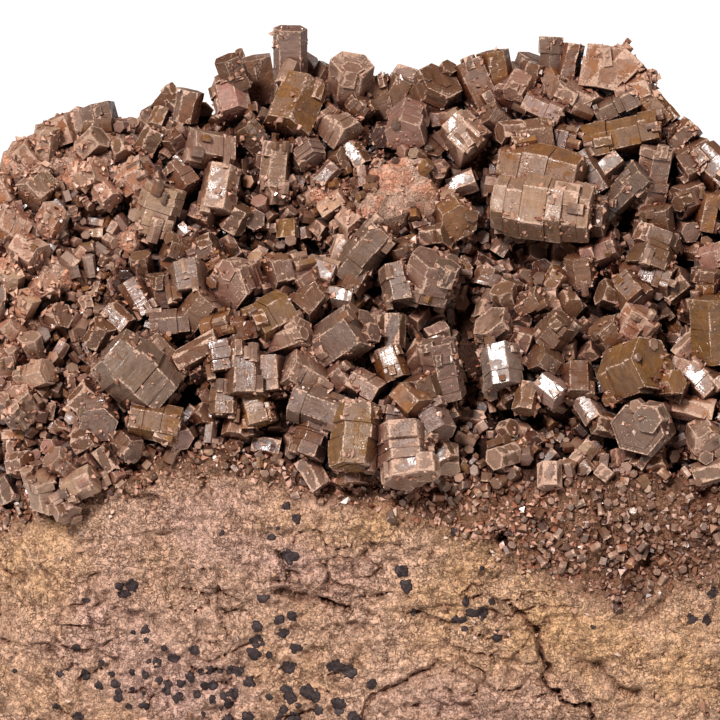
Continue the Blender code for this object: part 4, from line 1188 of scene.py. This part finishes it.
def line_distance(right, up, line):
    """How far each place in the view is from a line of points (mm)."""
    nearest = np.full(len(right), 1e9)
    for (x0, y0), (x1, y1) in zip(line, line[1:]):
        dx, dy = x1 - x0, y1 - y0
        t = np.clip(((right - x0) * dx + (up - y0) * dy) / (dx * dx + dy * dy), 0, 1)
        nearest = np.minimum(nearest, np.hypot(right - x0 - t * dx, up - y0 - t * dy))
    return nearest


def gap_depth(points, standing):
    """0 to 1: how far each place of the crust is from all standing crystals (1 from 1.4 mm on)."""
    nearest = np.full(len(points), 9.0)
    for placed, across, length in standing:
        at = moved(points, placed.inverted())
        side = np.maximum(np.hypot(at[:, 0], at[:, 1]) - across / 2, 0)
        end = np.maximum(np.abs(at[:, 2]) - length / 2, 0)
        nearest = np.minimum(nearest, np.hypot(side, end) / MM)
    return smooth_step(nearest, 0.1, 1.4)


def refined_rock(node):
    """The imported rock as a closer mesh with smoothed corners."""
    bm = bmesh.new()
    bm.from_mesh(node.data)
    bm.transform(node.matrix_world)
    bmesh.ops.remove_doubles(bm, verts=bm.verts, dist=0.01 * MM)
    split_long_edges(bm, first_spacing)
    free = [v for v in bm.verts if v.co.z > 0.05 * MM]
    for _ in range(3):
        bmesh.ops.smooth_vert(bm, verts=free, factor=0.5, use_axis_x=True, use_axis_y=True, use_axis_z=True)
    split_long_edges(bm, fine_spacing)
    bm.normal_update()
    return bm


def rock_relief(points, large):
    """How far (mm) each point of the rock is raised, how thickly crumbs fill the crust there, and the values
    that its colours need: lumps, grains, cracks, ledges and clay, and hollows between the large crystals."""
    # lumps and winding grooves
    lumps = noise_at(points, 4.2, 1)
    grains = noise_at(points, 1.5, 2)
    fine = noise_at(points, 0.6, 3)
    ledges = 1 - np.abs(noise_at(points * np.array((0.45, 0.45, 1.3)), 2.6, 4)) * 2
    right, up = in_view(points)
    height = 0.50 * lumps + 0.40 * grains + 0.26 * fine + 0.36 * ledges
    worms = np.abs(noise_at(points * np.array((0.7, 0.7, 1.2)), 2.4, 12))
    groove = np.exp(-((worms / 0.07) ** 2)) * smooth_step(noise_at(points, 7, 13), -0.25, 0.2)
    smoother = smooth_step(right, 16, 24) * smooth_step(-up, 20, 24)
    groove *= 1 - 0.6 * smoother
    height -= 0.40 * groove
    # pit: where the rock's colour gets painted shade, in pits and grooves and, below, along the cracks
    pit = np.maximum(smooth_step(-0.8 * grains - fine, 0.25, 0.6) * (0.8 - 0.4 * smoother), 0.8 * groove)

    # cracks, on the seen side only
    seen = points[:, 1] < 2 * MM
    for depth, wide, line in CRACKS:
        away = line_distance(right + 0.5 * grains + 0.3 * fine, up + 0.5 * grains - 0.3 * fine, line)
        mark = np.exp(-((away / wide) ** 2)) * seen
        height -= depth * mark
        pit = np.maximum(pit, mark)

    # hollows between the large crystals, clefts and clay
    inside = crust(points, CRYSTAL_EDGE)
    near = (points[:, 1] < 14 * MM) * smooth_step(inside, -0.5, 1.5)
    clay = clay_share(right, up) * near
    filled = crumbly(right, up) * near
    hollow = HOLLOW * (0.3 + 0.9 * smooth_step(noise_at(points, 5, 8), -0.3, 0.3))
    hollow *= (1 - 0.8 * clay) * (1 - 0.5 * filled)
    height -= hollow * gap_depth(points, large) * smooth_step(inside, 0.5, 4)
    for x, y, radius in CLEFTS:
        height -= CLEFT_DEPTH * np.exp(-((right - x) ** 2 + (up - y) ** 2) / (1.1 * radius) ** 2) * seen
    height += clay_height(right, up) * (0.9 + 0.20 * grains + 0.08 * fine) * near

    values = {
        # painted shade in pits, grooves and cracks
        "pit": pit,
        # painted shade on the ground under the large crystals
        "crust": smooth_step(inside, -1.5, 2.5) * (1 - clay) * (1 - 0.7 * filled),
        "clay": clay,
        "pink": stained(right, up, PINK_AREAS) * seen,
        "ochre": stained(right, up, OCHRE_AREAS) * seen,
    }
    return height, filled, values


def build_rock(node, large):
    """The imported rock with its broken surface. Returns its tree and the piece."""
    bm = refined_rock(node)
    points = np.array([v.co for v in bm.verts])
    normals = np.array([v.normal for v in bm.verts])
    height, filled, values = rock_relief(points, large)
    points += normals * (height * MM)[:, None]
    points[:, 2] = np.maximum(points[:, 2], 0)
    # druse: the dark brown ground of the druse, partly its own colour and partly painted shade among its
    # small crystals
    values["druse"] = smooth_step(crust(points, DRUSE_EDGE), -2, 1.5) * (1 - 0.4 * filled)
    for vert, place in zip(bm.verts, points):
        vert.co = place
    mesh = bpy.data.meshes.new("rock_surface")
    bm.to_mesh(mesh)
    tree = BVHTree.FromBMesh(bm)
    bm.free()
    for key, numbers in values.items():
        add_values(mesh, key, numbers)
    piece = new_object("rock_surface", mesh)
    mesh.materials.append(ROCK)
    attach(piece, "root")
    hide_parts(node.name)
    return tree, piece


def lobes_of_spots():
    """The domes that each oxide spot is made of: right, up, radius across, radius up."""
    lobes = []
    for x, y, *radii in OXIDE_SPOTS:
        wide, tall = radii[0], radii[-1]
        lobes.append((x, y, 0.85 * wide, 0.85 * tall))
        for _ in range(round(3 + 9 * wide * tall)):
            a = rng.uniform(0, 2 * math.pi)
            size = rng.uniform(0.25, 0.5) * math.sqrt(wide * tall)
            out = rng.uniform(0.35, 0.75)
            lobes.append((x + wide * out * math.cos(a), y + tall * out * math.sin(a), size, size))
    return lobes


def build_spots(tree):
    """The oxide spots: clusters of thin domes that follow the rock."""
    around = 9
    rings = ((0.5, 0.11), (0.9, 0.04), (1.12, -0.10))  # share of the radius, height in mm
    points, faces, tone, count = [], [], [], 0
    for x, y, wide, tall in lobes_of_spots():
        edge = 1 + rng.uniform(-0.24, 0.24, around)
        spot = [(x, y, 0.14)]
        for share, height in rings:
            for k in range(around):
                a = 2 * math.pi * k / around
                ragged = share * (1 + (edge[k] - 1) * share)
                spot.append((x + wide * ragged * math.cos(a), y + tall * ragged * math.sin(a), height))
        for right, up, height in spot:
            hit, normal, _, _ = tree.ray_cast(EYE, (in_space(right, up) - EYE).normalized())
            points.append(hit + normal * height * MM)
        k = np.arange(around)
        n = (k + 1) % around
        faces.append(np.stack((np.zeros(around, dtype=int), k + 1, n + 1), 1) + count)
        for r in range(len(rings) - 1):
            low, high = 1 + r * around, 1 + (r + 1) * around
            faces.append(np.stack((k + low, k + high, n + high), 1) + count)
            faces.append(np.stack((k + low, n + high, n + low), 1) + count)
        # tone: lighter near the top of each dome, a painted highlight, and darker towards its edge
        tone.append(np.concatenate(([0.5], *[np.full(around, 1 - share * 0.8) for share, _ in rings])))
        count += len(spot)
    values = {"tone": np.concatenate(tone)}
    piece = joined_mesh("oxide_spots", np.array(points), [np.concatenate(faces)], values)
    finish_extra(piece, OXIDE)
    piece.data.shade_smooth()


def build_grit(surface):
    """Loose angular grains on the bare rock."""
    places, normals = sample_surface(*surface, GRIT_TRIED)
    depth = crust(places, DRUSE_EDGE)
    good = (depth < 2) & (places[:, 2] > 0.5 * MM)
    near = np.exp(-np.clip(-depth, 0, 30) / 5)
    good &= rng.random(len(places)) < np.where(places[:, 1] < 2 * MM, 0.18 + 0.8 * near, 0.15)
    places, normals = picked(good, places, normals)
    count = len(places)
    sizes = rng.uniform(0.12, 0.34, count) * MM * np.where(rng.random(count) < 0.08, 1.8, 1)
    piece = grain_mesh("rock_grit", places, normals, sizes, {"tone": rng.random(count)})
    finish_extra(piece, GRIT)


# Materials


def put(tree, socket, value):
    """Links a socket, or sets a plain number or colour."""
    if isinstance(value, bpy.types.NodeSocket):
        tree.links.new(value, socket)
    elif isinstance(value, tuple) and len(value) == 3 and socket.type == "RGBA":
        socket.default_value = (*value, 1)
    else:
        socket.default_value = value


def node(tree, kind, inputs, **settings):
    made = tree.nodes.new(kind)
    for key, value in settings.items():
        setattr(made, key, value)
    for key, value in inputs.items():
        put(tree, made.inputs[key], value)
    return made


def blend(tree, factor, a, b):
    """Colour a where factor is 0 and b where it is 1."""
    return node(tree, "ShaderNodeMix", {0: factor, 6: a, 7: b}, data_type="RGBA").outputs[2]


def maths(tree, operation, a, b=0.0):
    return node(tree, "ShaderNodeMath", {0: a, 1: b}, operation=operation).outputs[0]


def times(tree, a, b):
    return maths(tree, "MULTIPLY", a, b)


def plus(tree, a, b):
    return maths(tree, "ADD", a, b)


def greater(tree, a, b):
    return maths(tree, "MAXIMUM", a, b)


def weighted(tree, *parts):
    """The sum of values times their weights."""
    total = times(tree, *parts[0])
    for value, weight in parts[1:]:
        total = plus(tree, total, times(tree, value, weight))
    return total


def scaled(tree, colour, factor):
    return node(tree, "ShaderNodeVectorMath", {0: colour, 3: factor}, operation="SCALE").outputs[0]


def ranged(tree, value, low, high, to_low=0.0, to_high=1.0):
    """value, with low to high taken to to_low to to_high and held there."""
    inputs = {"Value": value, "From Min": low, "From Max": high, "To Min": to_low, "To Max": to_high}
    return node(tree, "ShaderNodeMapRange", inputs).outputs[0]


def value_of(tree, key, output="Fac"):
    return node(tree, "ShaderNodeAttribute", {}, attribute_name=key).outputs[output]


def stretched(tree, vector, scale):
    return node(tree, "ShaderNodeMapping", {"Vector": vector, "Scale": scale}).outputs[0]


def noise_node(tree, vector, scale, detail=2.0, roughness=0.5):
    inputs = {"Vector": vector, "Scale": scale, "Detail": detail, "Roughness": roughness}
    return node(tree, "ShaderNodeTexNoise", inputs).outputs[0]


def millimetres(tree):
    """The place in the piece, in mm."""
    return stretched(tree, node(tree, "ShaderNodeTexCoord", {}).outputs["Object"], (1000, 1000, 1000))


def bump(tree, height, distance, strength=1.0):
    inputs = {"Height": height, "Distance": distance, "Strength": strength}
    return node(tree, "ShaderNodeBump", inputs).outputs[0]


def set_inputs(surface, values):
    for key, value in values.items():
        surface.inputs[key].default_value = value


def new_material(name):
    material = bpy.data.materials.new(name)
    material.use_nodes = True
    return material, material.node_tree, material.node_tree.nodes["Principled BSDF"]


def shaded_gaps(tree, colour, low=0.36, high=0.78):
    """The colour with painted shade: redder where the share of open space round a place falls from high to
    low, and nearly black in the narrowest gaps."""
    open_share = node(tree, "ShaderNodeAmbientOcclusion", {"Distance": GAP_REACH}, samples=6).outputs["AO"]
    red = node(tree, "ShaderNodeVectorMath", {0: colour, 1: GAP_SHADE_RED}, operation="MULTIPLY").outputs[0]
    colour = blend(tree, ranged(tree, open_share, low, high), red, colour)
    return blend(tree, ranged(tree, open_share, 0.16, 0.50), GAP_SHADE_DARK, colour)


def vanadinite_material():
    material, tree, surface = new_material("vanadinite_crystal")
    grain = value_of(tree, "grain", "Vector")
    shade = value_of(tree, "shade", "Color")
    layers = noise_node(tree, stretched(tree, grain, (0.25, 0.25, 3.6)), 1.0, 3.0, 0.6)
    streaks = noise_node(tree, stretched(tree, grain, (4.5, 4.5, 0.35)), 1.0, 2.0)
    blotches = noise_node(tree, grain, 0.55, 3.0, 0.6)
    specks = noise_node(tree, grain, 5.0, 3.0, 0.7)
    steps = noise_node(tree, stretched(tree, grain, (0.8, 0.8, 1.4)), 1.0, 2.0)
    terraces = plus(tree, ranged(tree, steps, 0.44, 0.455), ranged(tree, steps, 0.55, 0.565))

    # the face: darker blotches, bands along the layers, flat terraces
    colour = blend(tree, ranged(tree, blotches, 0.38, 0.68, 0.0, 0.6), shade, (0.050, 0.019, 0.008))
    light = ranged(tree, layers, 0.3, 0.7, 0.80, 1.18)
    light = times(tree, light, ranged(tree, terraces, 0.0, 2.0, 0.92, 1.08))
    colour = scaled(tree, colour, light)

    # pale ragged edges, and dust in patches
    patchy = ranged(tree, blotches, 0.3, 0.7, -0.3, 0.25)
    ragged = plus(tree, ranged(tree, specks, 0.25, 0.75, -0.4, 0.4), patchy)
    dusty = times(tree, value_of(tree, "dust"), 0.5)
    rim = maths(tree, "POWER", value_of(tree, "rim"), 2.2)
    crusted = plus(tree, plus(tree, rim, ragged), dusty)
    edge = ranged(tree, crusted, 0.74, 0.94)
    pale = blend(tree, ranged(tree, specks, 0.35, 0.65), (0.255, 0.14, 0.085), (0.43, 0.29, 0.215))
    colour = blend(tree, edge, colour, pale)
    dust = times(tree, ranged(tree, dusty, 0.0, 0.6), ranged(tree, blotches, 0.4, 0.62, 0.0, 0.8))
    colour = blend(tree, dust, colour, (0.255, 0.145, 0.098))
    # painted shade, redder and then nearly black, in the gaps between crystals
    put(tree, surface.inputs["Base Color"], shaded_gaps(tree, colour))

    # gloss and relief
    rough = ranged(tree, streaks, 0.3, 0.7, 0.14, 0.34)
    rough = greater(tree, rough, ranged(tree, blotches, 0.44, 0.54, 0.14, 0.55))
    coat = greater(tree, dust, times(tree, edge, 0.8))
    put(tree, surface.inputs["Roughness"], ranged(tree, coat, 0.0, 0.7, rough, 0.75))
    set_inputs(surface, {"IOR": 1.55, "Specular IOR Level": 0.4})
    height = weighted(tree, (layers, 0.35), (streaks, 0.15), (specks, 0.3), (edge, 0.6), (terraces, 0.5))
    put(tree, surface.inputs["Normal"], bump(tree, height, 0.10 * MM, 0.7))
    return material


def worm_lines(tree, place, scale, wide):
    """1 on winding thin lines, the places where a noise has its middle value."""
    value = noise_node(tree, place, scale, 3.0, 0.6)
    from_middle = maths(tree, "ABSOLUTE", maths(tree, "SUBTRACT", value, 0.5))
    return ranged(tree, from_middle, wide, 0.0)


def rock_material():
    material, tree, surface = new_material("rock_matrix")
    place = millimetres(tree)
    patches = noise_node(tree, place, 0.16, 3.0, 0.6)
    mottle = noise_node(tree, place, 1.3, 4.0, 0.65)
    grain = noise_node(tree, place, 4.5, 3.0, 0.7)
    rough_part = ranged(tree, noise_node(tree, place, 0.30, 2.0), 0.36, 0.56, 0.15, 1.0)
    cracked = times(tree, worm_lines(tree, place, 0.85, 0.030), rough_part)
    cracked = greater(tree, cracked, times(tree, worm_lines(tree, place, 1.9, 0.030), 0.5))
    colour = blend(tree, ranged(tree, patches, 0.35, 0.65), (0.57, 0.325, 0.185), (0.63, 0.385, 0.265))
    pink = times(tree, value_of(tree, "pink"), ranged(tree, patches, 0.3, 0.6, 0.4, 1.0))
    colour = blend(tree, pink, colour, (0.57, 0.34, 0.275))
    ochre = times(tree, value_of(tree, "ochre"), ranged(tree, patches, 0.6, 0.35, 0.3, 0.9))
    colour = blend(tree, ochre, colour, (0.67, 0.38, 0.18))
    colour = scaled(tree, colour, ranged(tree, mottle, 0.32, 0.68, 0.46, 1.07))

    # pale grains; painted shade in pores, thin lines, cracks and pits; the ground under the druse, partly its
    # own brown and partly painted shade; and painted shade on the ground under the large crystals
    colour = blend(tree, ranged(tree, grain, 0.5, 0.75, 0.0, 0.55), colour, (0.70, 0.50, 0.375))
    colour = blend(tree, ranged(tree, grain, 0.45, 0.33, 0.0, 0.8), colour, (0.10, 0.042, 0.022))
    colour = blend(tree, times(tree, cracked, 0.8), colour, (0.10, 0.035, 0.016))
    colour = blend(tree, times(tree, value_of(tree, "pit"), 0.6), colour, (0.08, 0.028, 0.014))
    # the druse's ground: partly its own brown, partly painted shade
    colour = blend(tree, times(tree, value_of(tree, "druse"), 0.85), colour, (0.15, 0.067, 0.036))
    # painted shade: nearly black ground under the large crystals
    colour = blend(tree, times(tree, value_of(tree, "crust"), 0.9), colour, (0.03, 0.010, 0.006))

    # clay over all of that
    stain = ranged(tree, noise_node(tree, place, 0.5, 2.0), 0.42, 0.56)
    clay = blend(tree, stain, (0.61, 0.275, 0.175), (0.56, 0.36, 0.27))
    clay = blend(tree, ranged(tree, mottle, 0.45, 0.68, 0.0, 0.7), clay, (0.27, 0.15, 0.09))
    colour = blend(tree, times(tree, value_of(tree, "clay"), 0.9), colour, clay)
    # painted shade in the rock's hollows and in the gaps round the crystals
    colour = shaded_gaps(tree, colour, low=0.28, high=0.60)
    put(tree, surface.inputs["Base Color"], colour)
    set_inputs(surface, {"Roughness": 0.9, "Specular IOR Level": 0.12})
    height = weighted(tree, (mottle, 0.5), (grain, 0.35), (cracked, -0.3))
    put(tree, surface.inputs["Normal"], bump(tree, height, 1.0 * MM))
    return material


def grit_material():
    material, tree, surface = new_material("rock_grit")
    tone = value_of(tree, "tone")
    colour = blend(tree, ranged(tree, tone, 0.0, 0.6), (0.17, 0.08, 0.045), (0.29, 0.165, 0.105))
    colour = blend(tree, ranged(tree, tone, 0.85, 0.95), colour, (0.45, 0.32, 0.25))
    put(tree, surface.inputs["Base Color"], colour)
    set_inputs(surface, {"Roughness": 0.75, "Specular IOR Level": 0.2})
    return material


def crumb_material():
    material, tree, surface = new_material("crumb")
    # painted shade in the gaps between crumbs and crystals
    put(tree, surface.inputs["Base Color"], shaded_gaps(tree, value_of(tree, "shade", "Color")))
    cloud = noise_node(tree, millimetres(tree), 1.7)
    put(tree, surface.inputs["Roughness"], ranged(tree, cloud, 0.50, 0.62, 0.55, 0.12))
    set_inputs(surface, {"Specular IOR Level": 0.4})
    return material


def oxide_material():
    material, tree, surface = new_material("oxide")
    place = millimetres(tree)
    cloud = noise_node(tree, place, 2.2, 3.0, 0.7)
    tone = plus(tree, value_of(tree, "tone"), ranged(tree, cloud, 0.3, 0.7, -0.4, 0.4))
    # painted highlight: lighter where tone is high, near the tops of the domes
    colour = blend(tree, ranged(tree, tone, 0.3, 1.0), (0.011, 0.006, 0.006), (0.045, 0.027, 0.025))
    put(tree, surface.inputs["Base Color"], colour)
    set_inputs(surface, {"Roughness": 0.6, "Specular IOR Level": 0.2})
    put(tree, surface.inputs["Normal"], bump(tree, cloud, 0.2 * MM, 0.7))
    return material


# Stage


def build_stage():
    floor_mesh = bpy.data.meshes.new("floor")
    far = FLOOR_REACH
    corners = [(-far, -far, 0), (far, -far, 0), (far, far, 0), (-far, far, 0)]
    floor_mesh.from_pydata(corners, [], [(0, 1, 2, 3)])
    floor = new_object("floor", floor_mesh)
    material, _, surface = new_material("floor_white")
    set_inputs(surface, {"Base Color": FLOOR_TONE, "Roughness": 1.0})
    floor_mesh.materials.append(material)

    add_light("key_light", *KEY_LIGHT)
    add_light("fill_light", *FILL_LIGHT)

    world = bpy.data.worlds.new("studio")
    world.use_nodes = True
    set_inputs(world.node_tree.nodes["Background"], {"Color": WORLD_TINT, "Strength": WORLD_STRENGTH})
    scene = bpy.context.scene
    scene.world = world
    scene.view_settings.view_transform = "Standard"

    camera_data = bpy.data.cameras.new("camera")
    camera_data.sensor_width = SENSOR
    camera_data.lens = SENSOR * EYE_DISTANCE / VIEW_WIDTH
    camera_data.clip_start = 0.01
    camera = new_object("camera", camera_data)
    camera.matrix_world = Matrix.Translation(EYE) @ Matrix((RIGHT, UP, OUT)).transposed().to_4x4()
    scene.camera = camera


def add_light(name, place, size, power):
    data = bpy.data.lights.new(name, "AREA")
    data.shape = "DISK"
    data.size = size
    data.energy = power
    light = new_object(name, data)
    light.location = place
    light.rotation_euler = (VIEW_CENTRE - place).to_track_quat("-Z", "Y").to_euler()


VANADINITE = vanadinite_material()
ROCK = rock_material()
GRIT = grit_material()
CRUMB = crumb_material()
OXIDE = oxide_material()


def main():
    rock_node = frame["nodes"]["matrix_rock"]
    rock = world_mesh(rock_node)
    packed_tree = BVHTree.FromPolygons([Vector(p) for p in rock[0]], rock[1].tolist())
    standing = build_groups(packed_tree)
    build_steps(standing)
    tree, piece = build_rock(rock_node, standing)
    surface = world_mesh(piece)
    build_fill(packed_tree, surface, standing)
    pieces = [o for o in bpy.data.objects if o.name.endswith("_grown") or o.name == "fill_crystals"]
    build_crumbs(pieces, standing)
    build_druse_grains(surface, standing)
    build_druse("druse_coarse", surface, standing, tried=26000, low=0.6, high=1.4, edge=CRYSTAL_EDGE,
                looks=FILL_LOOKS, most=3000)
    build_druse("druse_fine", surface, standing, tried=22000, low=0.3, high=0.8, edge=DRUSE_EDGE,
                looks=DRUSE_LOOKS, most=3200, inside=-0.5)
    build_spots(tree)
    build_grit(surface)
    build_stage()


main()
